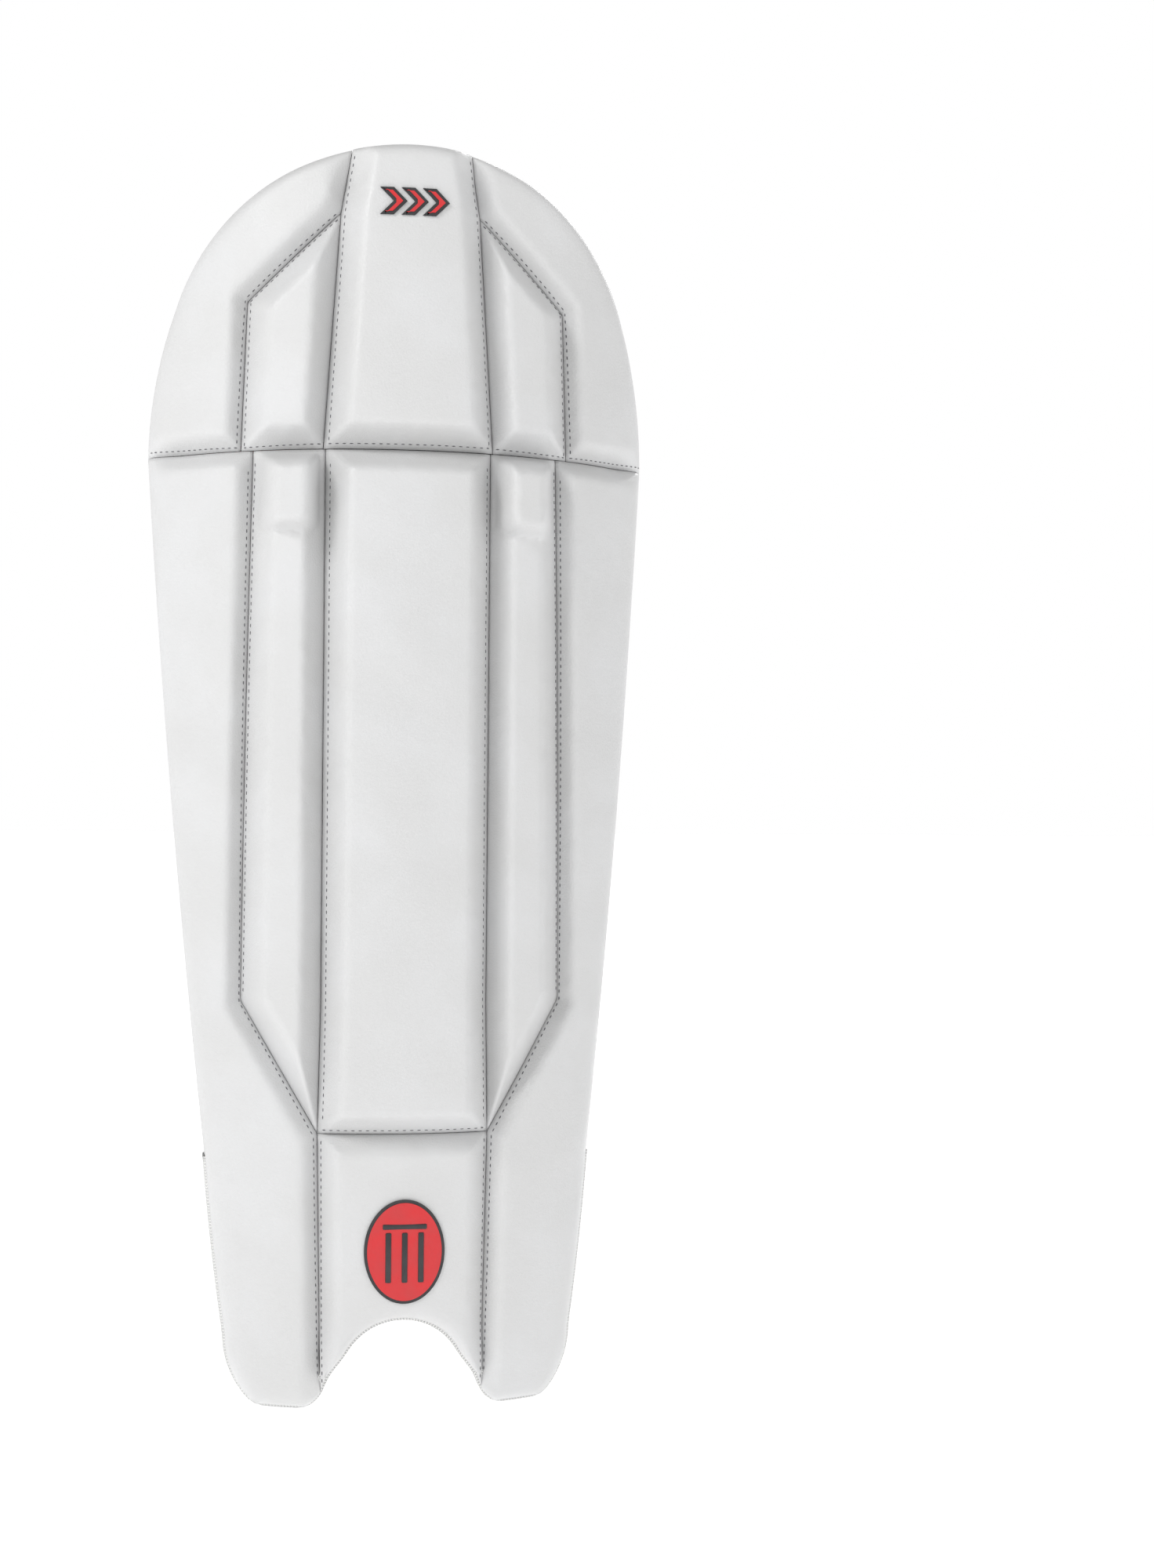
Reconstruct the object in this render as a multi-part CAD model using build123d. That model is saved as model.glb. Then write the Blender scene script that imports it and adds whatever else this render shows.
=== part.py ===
"""Wicket-keeper's leg pad: padded front shell, rear bolsters, knee cushion and two elastic straps.

Millimetres, +Z up. The front of the pad faces -Y, and +X is the wearer's left. The origin is
below the centre of the whole pad, on the surface that its two feet stand on.
"""

from build123d import *
import math
import os

# Overall sizes
PAD_HEIGHT = 660.0
HALF_WIDTH = 135.4  # at the cross seam between the knee and the shin
SEAM_Z = 501.5  # height of the cross seam
WRAP_RADIUS = 160.0  # the shell is bent round a vertical axis this far behind its front line

# Outline of the lower end
ARCH_Z = 48.0  # top of the notch over the boot
FOOT_INNER_X = 50.0  # the flat foot of each lobe
FOOT_OUTER_X = 76.0
NOTCH_SIDE = (30.3, 29.0)  # the notch's arch ends here, and its slanted side at the next point
NOTCH_FOOT = (39.5, 17.0)
LOBE_Z = 36.0  # the outline turns in to the foot below here
CROWN_DROP = 9.0  # the flat top of the dome ends this far down
SHOULDER_RISE = 77.5  # the dome's steep side ends this far above the cross seam
CROWN_SHARE, SHOULDER_SHARE, SHIN_SHARE, LOBE_SHARE = 0.3796, 0.8981, 0.7548, 0.6758  # of HALF_WIDTH
BEND_SHARE = 0.7186  # of HALF_WIDTH; one point on the dome and one on the lobe lie this far out
BEND_DROP = 39.0  # the dome's point lies this far below the top
FLARE_SHARE, CALF_SHARE = 0.9793, 0.8900  # of HALF_WIDTH, half way up the dome's side and at the calf
CALF_Z = 307.0
ANKLE_Z = 78.0
SHIN_OVERLAP = 2.0  # the shin's long side ends this far below the binding's top
TOE_TURN = (4.5, 20.5)  # how far the lobe's corner lies in from its start, and below it
HEEL_TURN = (6.5, 7.0)  # the foot's inner corner lies this far in from its flat, and at this height
BINDING_TOP_Z = 128.5  # the tape starts here and goes round both lobes and the notch
BINDING_THICKNESS = 1.4
BINDING_LIP = 12.0  # width of the tape on the rear
BINDING_FRONT = 3.0  # how far the tape stands in front of the seam surface

# Front panels
CENTRE_THICKNESS = 20.0
RIB_THICKNESS = 16.0
WING_THICKNESS = 11.0
SKIN = 1.2  # polyurethane leather
FOAM_GAP = 0.2  # between a cover and its foam
SEAM_GAP = 0.5  # between neighbouring panels
FLEX_GAP = 0.8  # between the knee and the shin at the cross seam

# Seam positions on the front, as distances from the centre line
KNEE_CENTRE_TOP_X = 31.2
KNEE_CENTRE_MID_X = 36.5
KNEE_CENTRE_MID_Z = 625.0
KNEE_CENTRE_FOOT_X = 44.7
KNEE_RIB_CORNER = (84.0, 580.0)
KNEE_RIB_FOOT_X = 86.8
ROLL_X = 43.5
RIB_TOP_X = 80.4
RIB_FOOT = (84.6, 212.0)
INSTEP_TOP_X = 44.7
INSTEP_TOP_Z = 143.6
INSTEP_FOOT_X = 42.2

# Layers behind the panels
BOARD_THICKNESS = 5.2
BOARD_INSET = 4.0  # from the panels' outline
LINING_THICKNESS = 1.2
LINING_INSET = 7.0
LAYER_GAP = 0.3

# Rear bolsters, as distances from the centre line
BOLSTER_TOP_Z = 462.0
BOLSTER_END_Z = 82.0
CENTRE_BOLSTER_END_Z = 98.0
BOLSTER_MID_Z = 205.0
CENTRE_BOLSTER_TOP_X = 41.0
CENTRE_BOLSTER_END_X = 32.0
SIDE_BOLSTER_TOP_X = 113.0
SIDE_BOLSTER_MID_X = 77.0
LEFT_BOLSTER_END_X = 74.0
RIGHT_BOLSTER_END_X = 40.0
BOLSTER_GAP = 1.0
BOLSTER_CREST = 48.0  # of the centre bolster at its top, behind the shell's front line
BOLSTER_CREST_DROP = 14.0  # how much lower the crest is at the bolsters' ends
BOLSTER_REAR_RADIUS = 244.0
BACKING_THICKNESS = 1.2
BACKING_FLANGE = 9.0  # how far the backing cloth shows outside the bolsters
TUFT_X = -3.0
TUFT_Z = 116.0
TUFT_RADIUS = 3.0
TUFT_HEIGHT = 1.5

# Knee cushion
CUSHION_BOTTOM_Z = 470.0
CUSHION_INSET = 6.0
CUSHION_CREST = 38.0
CUSHION_REAR_RADIUS = 215.0

# Straps
STRAP_WIDTH = 68.0
STRAP_THICKNESS = 2.5
LANDING_WIDTH = 76.0
LANDING_THICKNESS = 1.5
RING_WIDTH = 41.0
RING_HEIGHT = 88.0
RING_THICKNESS = 4.0
RING_BAR = 14.0  # width of the two upright bars
RING_ARM = 9.5  # height of the two cross arms
RING_CORNER = 10.0
RING_SLOT_CORNER = 2.5
LOOP_THICKNESS = 1.8
LOOP_GAP = 0.3
TAB_THICKNESS = 3.0
TAB_CORNER = 5.0
HOOK_THICKNESS = 1.5
HOOK_MARGIN = 1.5  # between the hook patch's edge and the tab's
RUN_GAP = 0.3  # between the layers of a strap

# Badges
TOP_BADGE_Z = 627.0
TOP_BADGE_HALF_WIDTH = 20.0
TOP_BADGE_HEIGHT = 14.0
TOP_BADGE_STEP = 11.0  # between the points of neighbouring chevrons
TOP_BADGE_BAND = 7.0  # width of a chevron's band
INSTEP_BADGE_Z = 84.0
INSTEP_BADGE_WIDTH = 42.0
INSTEP_BADGE_HEIGHT = 54.0
BADGE_THICKNESS = 1.0

REACH = WRAP_RADIUS + 60.0  # from the wrap's axis to clear of the front
TALL = PAD_HEIGHT + 60.0


def wrap_y(radius, x):
    """Depth of the shell's surface of a given radius at a distance x from the centre line."""
    return WRAP_RADIUS - math.sqrt(radius**2 - x**2)


def prism(outline):
    """Straight block through the pad, front to rear, with the outline's shape."""
    return extrude(Plane.XZ.offset(-WRAP_RADIUS) * outline, amount=REACH)


def upright(radius, y):
    """Vertical cylinder through the whole height of the pad."""
    return Pos(0, y, TALL / 2 - 30) * Cylinder(radius, TALL)


def wrapped(outline, inner, outer):
    """Layer of the shell between two radii of the wrap, cut to the outline."""
    layer = prism(outline) & upright(outer, WRAP_RADIUS)
    return layer - upright(inner, WRAP_RADIUS)


def covered(region, thickness):
    """Cover and foam of a front panel, as a closed skin and the block that fills it."""
    layers = []
    for inset in (0, SKIN, SKIN + FOAM_GAP):
        shape = offset(region, -SEAM_GAP / 2 - inset)
        layers.append(wrapped(shape, WRAP_RADIUS + inset, WRAP_RADIUS + thickness - inset))
    return layers[0] - layers[1], layers[2]


def mirrored(points):
    """The same points on the other side of the centre line."""
    return [(-x, z) for x, z in points]


def silhouette():
    """Front outline of all the panels: a dome, two tapering sides and two lobes beside a notch."""
    low = BINDING_THICKNESS
    edges = [ThreePointArc((-NOTCH_SIDE[0], NOTCH_SIDE[1]), (0, ARCH_Z), NOTCH_SIDE)]
    crown = (HALF_WIDTH * CROWN_SHARE, PAD_HEIGHT - CROWN_DROP)
    shoulder = (HALF_WIDTH * SHOULDER_SHARE, SEAM_Z + SHOULDER_RISE)
    shin = (HALF_WIDTH * SHIN_SHARE, BINDING_TOP_Z - SHIN_OVERLAP)
    lobe = (HALF_WIDTH * LOBE_SHARE, LOBE_Z)
    for sign in (1, -1):
        arcs = [
            [(0, PAD_HEIGHT), (crown[0] / 2, PAD_HEIGHT - CROWN_DROP / 4), crown],
            [crown, (HALF_WIDTH * BEND_SHARE, PAD_HEIGHT - BEND_DROP), shoulder],
            [shoulder, (HALF_WIDTH * FLARE_SHARE, SEAM_Z + SHOULDER_RISE / 2), (HALF_WIDTH, SEAM_Z)],
            [(HALF_WIDTH, SEAM_Z), (HALF_WIDTH * CALF_SHARE, CALF_Z), shin],
            [shin, (HALF_WIDTH * BEND_SHARE, ANKLE_Z), lobe],
            [lobe, (lobe[0] - TOE_TURN[0], LOBE_Z - TOE_TURN[1]), (FOOT_OUTER_X, low)],
            [(FOOT_INNER_X, low), (FOOT_INNER_X - HEEL_TURN[0], HEEL_TURN[1]), NOTCH_FOOT],
        ]
        edges += [ThreePointArc(*[(sign * x, z) for x, z in arc]) for arc in arcs]
        edges.append(Line((sign * FOOT_OUTER_X, low), (sign * FOOT_INNER_X, low)))
        edges.append(Line((sign * NOTCH_FOOT[0], NOTCH_FOOT[1]), (sign * NOTCH_SIDE[0], NOTCH_SIDE[1])))
    return make_face(edges)


def area(*points):
    """Plane region with straight sides."""
    return make_face(Polyline(*points, close=True))


def band_region(low, high):
    """Everything between two heights."""
    return area((-300, low), (300, low), (300, high), (-300, high))


def side_region(sign):
    """Everything on one side of the centre line."""
    return area((0, -100), (sign * 300, -100), (sign * 300, TALL), (0, TALL))


OUTLINE = silhouette()
KNEE_OUTLINE = OUTLINE & band_region(SEAM_Z + FLEX_GAP / 2, TALL)
SHIN_OUTLINE = OUTLINE & band_region(-100, SEAM_Z - FLEX_GAP / 2)


def knee_regions():
    """Outlines of the knee's panels: centre, then rib and flank on each side."""
    high = TALL
    lean = (KNEE_CENTRE_MID_X - KNEE_CENTRE_TOP_X) / 32.0
    high_x = KNEE_CENTRE_TOP_X - lean * (high - 657.0)
    half = [(KNEE_CENTRE_FOOT_X, SEAM_Z - 20), (KNEE_CENTRE_MID_X, KNEE_CENTRE_MID_Z), (high_x, high)]
    centre = area(*half, *reversed(mirrored(half)))
    regions = {"knee_centre": KNEE_OUTLINE & centre}
    for side, sign in (("left", 1), ("right", -1)):
        rib = area(
            (sign * KNEE_CENTRE_FOOT_X, SEAM_Z - 20),
            (sign * KNEE_CENTRE_MID_X, KNEE_CENTRE_MID_Z),
            (sign * KNEE_RIB_CORNER[0], KNEE_RIB_CORNER[1]),
            (sign * KNEE_RIB_FOOT_X, SEAM_Z - 20),
        )
        regions[f"knee_rib_{side}"] = (KNEE_OUTLINE & rib) - centre
        regions[f"knee_flank_{side}"] = (KNEE_OUTLINE & side_region(sign)) - centre - rib
    return regions


def shin_regions():
    """Outlines of the shin's panels: centre roll, instep, then rib and wing on each side."""
    half = [(ROLL_X, SEAM_Z + 20), (ROLL_X, RIB_FOOT[1]), (INSTEP_TOP_X, INSTEP_TOP_Z)]
    roll = area(*half, *reversed(mirrored(half)))
    half = [(INSTEP_TOP_X, INSTEP_TOP_Z), (INSTEP_FOOT_X, 0)]
    instep = area(*half, *reversed(mirrored(half)))
    regions = {"centre_roll": SHIN_OUTLINE & roll, "instep": SHIN_OUTLINE & instep}
    for side, sign in (("left", 1), ("right", -1)):
        rib = area(
            (sign * ROLL_X, SEAM_Z + 20),
            (sign * ROLL_X, RIB_FOOT[1]),
            (sign * INSTEP_TOP_X, INSTEP_TOP_Z),
            (sign * RIB_FOOT[0], RIB_FOOT[1]),
            (sign * RIB_TOP_X, SEAM_Z + 20),
        )
        regions[f"rib_{side}"] = SHIN_OUTLINE & rib
        regions[f"wing_{side}"] = (SHIN_OUTLINE & side_region(sign)) - roll - rib - instep
    return regions


def front_panels():
    """Cover and foam of every front panel."""
    sizes = {"centre": CENTRE_THICKNESS, "rib": RIB_THICKNESS, "wing": WING_THICKNESS}
    kinds = {"knee_centre": "centre", "centre_roll": "centre", "instep": "wing"}
    parts = {}
    for name, region in {**knee_regions(), **shin_regions()}.items():
        kind = kinds.get(name, "rib" if "rib" in name else "wing")
        cover, foam = covered(region, sizes[kind])
        parts[f"{name}_cover"] = cover
        parts[f"{name}_foam"] = foam
    return parts


# Radii of the layers behind the panels, from the front one back
BOARD_OUTER = WRAP_RADIUS - LAYER_GAP
BOARD_INNER = BOARD_OUTER - BOARD_THICKNESS
LINING_OUTER = BOARD_INNER - LAYER_GAP
LINING_INNER = LINING_OUTER - LINING_THICKNESS
BACKING_OUTER = LINING_INNER - LAYER_GAP
BACKING_INNER = BACKING_OUTER - BACKING_THICKNESS


def shell_layers():
    """Stiffening boards and linings behind the panels."""
    parts = {}
    for name, outline in (("knee", KNEE_OUTLINE), ("shin", SHIN_OUTLINE)):
        parts[f"{name}_board"] = wrapped(offset(outline, -BOARD_INSET), BOARD_INNER, BOARD_OUTER)
    lining = offset(KNEE_OUTLINE, -LINING_INSET)
    parts["knee_lining"] = wrapped(lining, LINING_INNER, LINING_OUTER)
    lining = offset(SHIN_OUTLINE, -LINING_INSET)
    upper = lining & band_region(BINDING_TOP_Z + SEAM_GAP / 2, TALL)
    lower = lining & band_region(-100, BINDING_TOP_Z - SEAM_GAP / 2)
    parts["shin_lining"] = wrapped(upper, LINING_INNER, LINING_OUTER)
    parts["foot_lining"] = wrapped(lower, LINING_INNER, LINING_OUTER)
    return parts


def edge_binding():
    """Woven tape folded over the lower edge, from one side round both lobes to the other."""
    below = band_region(-100, BINDING_TOP_Z)
    around = offset(SHIN_OUTLINE, BINDING_THICKNESS)
    rim = (around - offset(SHIN_OUTLINE, FOAM_GAP / 2)) & below
    lip = (around - offset(SHIN_OUTLINE, -BINDING_LIP)) & below
    rear = LINING_INNER - FOAM_GAP
    wall = wrapped(rim, rear - BINDING_THICKNESS, WRAP_RADIUS + BINDING_FRONT)
    return wall + wrapped(lip, rear - BINDING_THICKNESS, rear)


def rear_cutter(crest, drop, radius, inset):
    """Cylinder that limits a soft piece to the rear, leaning so that its crest drops downwards."""
    lean = math.degrees(math.atan2(drop, BOLSTER_TOP_Z - BOLSTER_END_Z))
    hub = Cylinder(radius + inset, 2 * TALL)
    return Pos(0, crest + radius, BOLSTER_TOP_Z) * Rot(-lean, 0, 0) * hub


def bolster_outlines():
    """Outlines of the three bolsters: the side ones taper, the right one to a point."""
    half = [
        (CENTRE_BOLSTER_TOP_X, BOLSTER_TOP_Z),
        (CENTRE_BOLSTER_END_X, BOLSTER_MID_Z),
        (CENTRE_BOLSTER_END_X, CENTRE_BOLSTER_END_Z),
    ]
    outlines = {"bolster_centre": area(*half, *reversed(mirrored(half)))}
    inner = [(x + BOLSTER_GAP, z) for x, z in half[:2]] + [(CENTRE_BOLSTER_END_X + BOLSTER_GAP, 0)]
    for side, sign, end_x in (("left", 1, LEFT_BOLSTER_END_X), ("right", -1, RIGHT_BOLSTER_END_X)):
        outer = [
            (end_x, BOLSTER_END_Z),
            (SIDE_BOLSTER_MID_X, BOLSTER_MID_Z),
            (SIDE_BOLSTER_TOP_X, BOLSTER_TOP_Z),
        ]
        low = (inner[1][0], BOLSTER_END_Z)
        points = inner[:2] + [low] + outer
        outlines[f"bolster_{side}"] = area(*[(sign * x, z) for x, z in points])
    return outlines


def bolsters():
    """Three stuffed bolsters that hold the shin, the cloth behind them and the tuft stitch."""
    parts = {}
    outlines = bolster_outlines()
    for name, outline in outlines.items():
        solids = []
        for inset in (0, SKIN, SKIN + FOAM_GAP):
            shape = offset(outline, -inset) if inset else outline
            solid = prism(shape) & upright(BACKING_INNER - LAYER_GAP - inset, WRAP_RADIUS)
            cutter = rear_cutter(BOLSTER_CREST, BOLSTER_CREST_DROP, BOLSTER_REAR_RADIUS, inset)
            solids.append(solid - cutter)
        parts[f"{name}_cover"] = solids[0] - solids[1]
        parts[f"{name}_foam"] = solids[2]
    flange = Sketch() + [offset(outline, BACKING_FLANGE) for outline in outlines.values()]
    flange = flange & band_region(0, BOLSTER_TOP_Z)
    parts["bolster_backing"] = wrapped(flange, BACKING_INNER, BACKING_OUTER)
    share = (BOLSTER_TOP_Z - TUFT_Z) / (BOLSTER_TOP_Z - BOLSTER_END_Z)
    crest = BOLSTER_CREST - share * BOLSTER_CREST_DROP
    knot = Pos(TUFT_X, crest + TUFT_HEIGHT / 2 + LAYER_GAP, TUFT_Z) * Rot(90, 0, 0)
    parts["bolster_tuft"] = knot * Cylinder(TUFT_RADIUS, TUFT_HEIGHT)
    return parts


def knee_cushion():
    """Stuffed cushion behind the knee, its lower edge hanging over the tops of the bolsters."""
    solids = []
    for inset in (0, SKIN, SKIN + FOAM_GAP):
        outline = offset(OUTLINE, -CUSHION_INSET - inset)
        outline = outline & band_region(CUSHION_BOTTOM_Z + inset, TALL)
        solid = prism(outline) & upright(LINING_INNER - LAYER_GAP - inset, WRAP_RADIUS)
        cutter = upright(CUSHION_REAR_RADIUS + inset, CUSHION_CREST + CUSHION_REAR_RADIUS)
        solids.append(solid - cutter)
    return {"knee_cushion_cover": solids[0] - solids[1], "knee_cushion_foam": solids[2]}


class StrapRun:
    """One strap across the rear: landing band, elastic, ring, anchor loop, tab and hook patch.

    The run lies on a gentle arc from wing to wing. It closes on the wearer's right.
    """

    def __init__(self, name, z, edge_x, bulge, tab_outer_x, tab_width, tab_height):
        self.name = name
        self.z = z
        self.edge_x = edge_x
        edge_y = wrap_y(LINING_INNER, edge_x) + RUN_GAP
        self.radius = (edge_x**2 + bulge**2) / (2 * bulge)
        self.centre_y = edge_y + bulge - self.radius
        self.tab_outer_x = tab_outer_x
        self.tab_width = tab_width
        self.tab_height = tab_height
        self.loop_tail = LOOP_THICKNESS + 2 * LOOP_GAP
        self.ring_x = edge_x - self.loop_tail - RING_WIDTH / 2

    def angle(self, x):
        """Angle round the arc, in degrees, at a distance x from the centre line."""
        return math.degrees(math.asin(x / self.radius))

    def at(self, x):
        """Frame on the arc: x along it towards the wearer's left, y to the rear, z up."""
        turn = self.angle(x)
        return Pos(0, self.centre_y, self.z) * Rot(0, 0, -turn) * Pos(0, self.radius, 0)

    def band(self, from_x, to_x, low, high, width):
        """Flat band that follows the arc, between two heights above it."""
        edges = []
        for height in (low, high):
            size = self.radius + height
            turns = [90 - self.angle(x) for x in (from_x, (from_x + to_x) / 2, to_x)]
            points = [
                (size * math.cos(math.radians(t)), self.centre_y + size * math.sin(math.radians(t)))
                for t in turns
            ]
            edges.append(ThreePointArc(*points))
        edges.append(Line(edges[0] @ 0, edges[1] @ 0))
        edges.append(Line(edges[0] @ 1, edges[1] @ 1))
        return Pos(0, 0, self.z - width / 2) * extrude(make_face(edges), amount=width)

    def ring_frame(self):
        """Frame at the middle of the ring, on the arc."""
        return self.at(self.ring_x)

    def beside_ring(self, distance):
        """Distance from the centre line of the arc's point that lies beside the ring's middle."""
        turn = self.angle(self.ring_x) - math.degrees(math.atan(distance / self.radius))
        return self.radius * math.sin(math.radians(turn))

    def plate(self, width, height, thickness, corner, low):
        """Flat plate with rounded corners, standing on the arc at a height above it."""
        shape = Plane.XZ * RectangleRounded(width, height, corner)
        return Pos(0, low + thickness, 0) * extrude(shape, amount=thickness)

    def ring(self):
        """Moulded ring with a slot for the strap and the anchor loop."""
        low = LANDING_THICKNESS + RUN_GAP
        body = self.plate(RING_WIDTH, RING_HEIGHT, RING_THICKNESS, RING_CORNER, low)
        slot_width = RING_WIDTH - 2 * RING_BAR
        slot_height = RING_HEIGHT - 2 * RING_ARM
        slot = self.plate(slot_width, slot_height, 3 * RING_THICKNESS, RING_SLOT_CORNER, low - RING_THICKNESS)
        return self.ring_frame() * (body - slot)

    def anchor_loop(self):
        """Elastic loop round the ring's far bar, with a tail sewn to the wing."""
        low = LANDING_THICKNESS + RUN_GAP
        bar_x = RING_WIDTH / 2 - RING_BAR / 2
        width = RING_HEIGHT - 2 * RING_ARM - 2 * RING_SLOT_CORNER
        inner_x = RING_BAR + 2 * LOOP_GAP
        inner_y = RING_THICKNESS + 2 * LOOP_GAP
        outer = Box(inner_x + 2 * LOOP_THICKNESS, inner_y + 2 * LOOP_THICKNESS, width)
        hole = Box(inner_x, inner_y, 2 * width)
        return self.ring_frame() * Pos(bar_x, low + RING_THICKNESS / 2, 0) * (outer - hole)

    def tab_frame(self):
        """Frame at the middle of the tab, on the arc."""
        return self.at(self.tab_outer_x + self.tab_width / 2)

    def tab_inner_x(self):
        """Where the tab meets the elastic."""
        return self.tab_outer_x + self.tab_width + RUN_GAP

    def parts(self):
        """Every piece of the strap, by name."""
        name = self.name
        low = LANDING_THICKNESS + RUN_GAP
        strap_end = self.beside_ring(RING_WIDTH / 2 + 2 * RUN_GAP)
        landing_end = self.beside_ring(RING_WIDTH / 2 - RING_BAR + RUN_GAP)
        tab = self.plate(
            self.tab_width, self.tab_height, TAB_THICKNESS, TAB_CORNER, low + HOOK_THICKNESS
        )
        hook = self.plate(
            self.tab_width - 2 * HOOK_MARGIN,
            self.tab_height - 2 * HOOK_MARGIN,
            HOOK_THICKNESS,
            TAB_CORNER - HOOK_MARGIN,
            low,
        )
        return {
            f"{name}_landing": self.band(-self.edge_x, landing_end, 0, LANDING_THICKNESS, LANDING_WIDTH),
            f"{name}_strap": self.band(
                self.tab_inner_x(), strap_end, low, low + STRAP_THICKNESS, STRAP_WIDTH
            ),
            f"{name}_ring": self.ring(),
            f"{name}_anchor_loop": self.anchor_loop(),
            f"{name}_tab": self.tab_frame() * tab,
            f"{name}_hook_patch": self.tab_frame() * hook,
        }

    def hinges(self):
        """Places of the run's three upright hinge lines."""
        rise = LANDING_THICKNESS + RUN_GAP + RING_THICKNESS
        tab_rise = LANDING_THICKNESS + RUN_GAP + STRAP_THICKNESS
        loop_x = RING_WIDTH / 2 + LOOP_GAP + LOOP_THICKNESS
        strap = self.ring_frame() * Pos(-RING_WIDTH / 2 - RUN_GAP, rise + RUN_GAP, 0)
        return {
            f"{self.name}_ring_swing": (self.ring_frame() * Pos(loop_x, rise / 2, 0)).position,
            f"{self.name}_strap_swing": strap.position,
            f"{self.name}_tab_peel": (self.at(self.tab_inner_x()) * Pos(0, tab_rise, 0)).position,
        }


UPPER_RUN = StrapRun("upper", 387.0, 123.0, 19.0, -118.0, 20.0, 58.0)
LOWER_RUN = StrapRun("lower", 167.0, 100.0, 17.0, -91.0, 16.0, 56.0)


def badges():
    """Raised generic badges: three chevrons at the top and an oval on the instep."""
    chevrons = Sketch()
    half = TOP_BADGE_HEIGHT / 2
    for index in (-1, 0, 1):
        x = index * TOP_BADGE_STEP
        chevrons += area(
            (x - TOP_BADGE_BAND, half),
            (x, half),
            (x + TOP_BADGE_BAND, 0),
            (x, -half),
            (x - TOP_BADGE_BAND, -half),
            (x, 0),
        )
    face = WRAP_RADIUS + CENTRE_THICKNESS + FOAM_GAP
    top = wrapped(Pos(0, TOP_BADGE_Z) * chevrons, face, face + BADGE_THICKNESS)
    oval = Pos(0, INSTEP_BADGE_Z) * Ellipse(INSTEP_BADGE_WIDTH / 2, INSTEP_BADGE_HEIGHT / 2)
    face = WRAP_RADIUS + WING_THICKNESS + FOAM_GAP
    return {"top_badge": top, "instep_badge": wrapped(oval, face, face + BADGE_THICKNESS)}


def build():
    """Every sub-part by name, with the origin below the middle of the whole pad."""
    parts = front_panels()
    parts.update(shell_layers())
    parts["edge_binding"] = edge_binding()
    parts.update(bolsters())
    parts.update(knee_cushion())
    for run in (UPPER_RUN, LOWER_RUN):
        parts.update(run.parts())
    parts.update(badges())
    box = Compound(children=[part.solids()[0] if len(part.solids()) == 1 else Compound(part.solids())
                             for part in parts.values()]).bounding_box()
    shift = Pos(0, -(box.min.Y + box.max.Y) / 2, -box.min.Z)
    return {name: shift * part for name, part in parts.items()}, shift


if __name__ == "__main__":
    os.makedirs("parts", exist_ok=True)
    pieces, moved = build()
    for node, piece in pieces.items():
        export_step(piece, f"parts/{node}.step")
    print(f"{len(pieces)} sub-parts, shifted by {moved.position}")
    for strap_run in (UPPER_RUN, LOWER_RUN):
        for hinge, place in strap_run.hinges().items():
            print(hinge, place + moved.position)
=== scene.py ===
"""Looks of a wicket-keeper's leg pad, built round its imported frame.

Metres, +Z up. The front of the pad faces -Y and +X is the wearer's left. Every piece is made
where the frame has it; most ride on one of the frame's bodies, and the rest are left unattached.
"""

from __future__ import annotations

import logging
import math
from collections.abc import Callable, Sequence
from dataclasses import dataclass
from enum import Enum

import bmesh
import bpy
import numpy as np
from mathutils import Matrix, Vector, noise


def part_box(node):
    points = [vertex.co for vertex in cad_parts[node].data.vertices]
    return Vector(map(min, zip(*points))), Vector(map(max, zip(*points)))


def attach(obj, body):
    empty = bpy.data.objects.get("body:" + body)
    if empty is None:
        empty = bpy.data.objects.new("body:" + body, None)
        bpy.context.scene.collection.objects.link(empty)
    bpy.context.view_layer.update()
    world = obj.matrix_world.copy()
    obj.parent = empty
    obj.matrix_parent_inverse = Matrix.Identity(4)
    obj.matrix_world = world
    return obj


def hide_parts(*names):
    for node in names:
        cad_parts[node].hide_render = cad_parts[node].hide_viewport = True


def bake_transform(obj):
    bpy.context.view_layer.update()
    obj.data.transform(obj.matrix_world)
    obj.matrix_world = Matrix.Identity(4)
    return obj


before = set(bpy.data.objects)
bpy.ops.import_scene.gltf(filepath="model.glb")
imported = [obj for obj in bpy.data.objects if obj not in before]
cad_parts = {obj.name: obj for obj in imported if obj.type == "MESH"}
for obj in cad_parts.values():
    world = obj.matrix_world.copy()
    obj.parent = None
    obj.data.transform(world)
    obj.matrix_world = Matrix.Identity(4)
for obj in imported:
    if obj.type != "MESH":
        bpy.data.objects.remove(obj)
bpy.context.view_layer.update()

log = logging.getLogger("leg_pad")

Array = np.ndarray
Point = tuple[float, float]
Socket = bpy.types.NodeSocket
STITCH_BATCH = 24  # a mesh is quicker to grow in pieces of this many stitches
WELD = 1e-6


class Body(Enum):
    """Bodies of the frame that pieces ride on."""

    SHIN = "shin"
    KNEE = "knee"


class Side(Enum):
    """Sides of the pad, seen by the wearer."""

    LEFT = 1
    RIGHT = -1

    @property
    def word(self) -> str:
        """Name of the side as it stands in node names."""
        return self.name.lower()


# ---------------------------------------------------------------------------------------------
# Curves in the front plane, as arrays of (x, z)
# ---------------------------------------------------------------------------------------------


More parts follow.
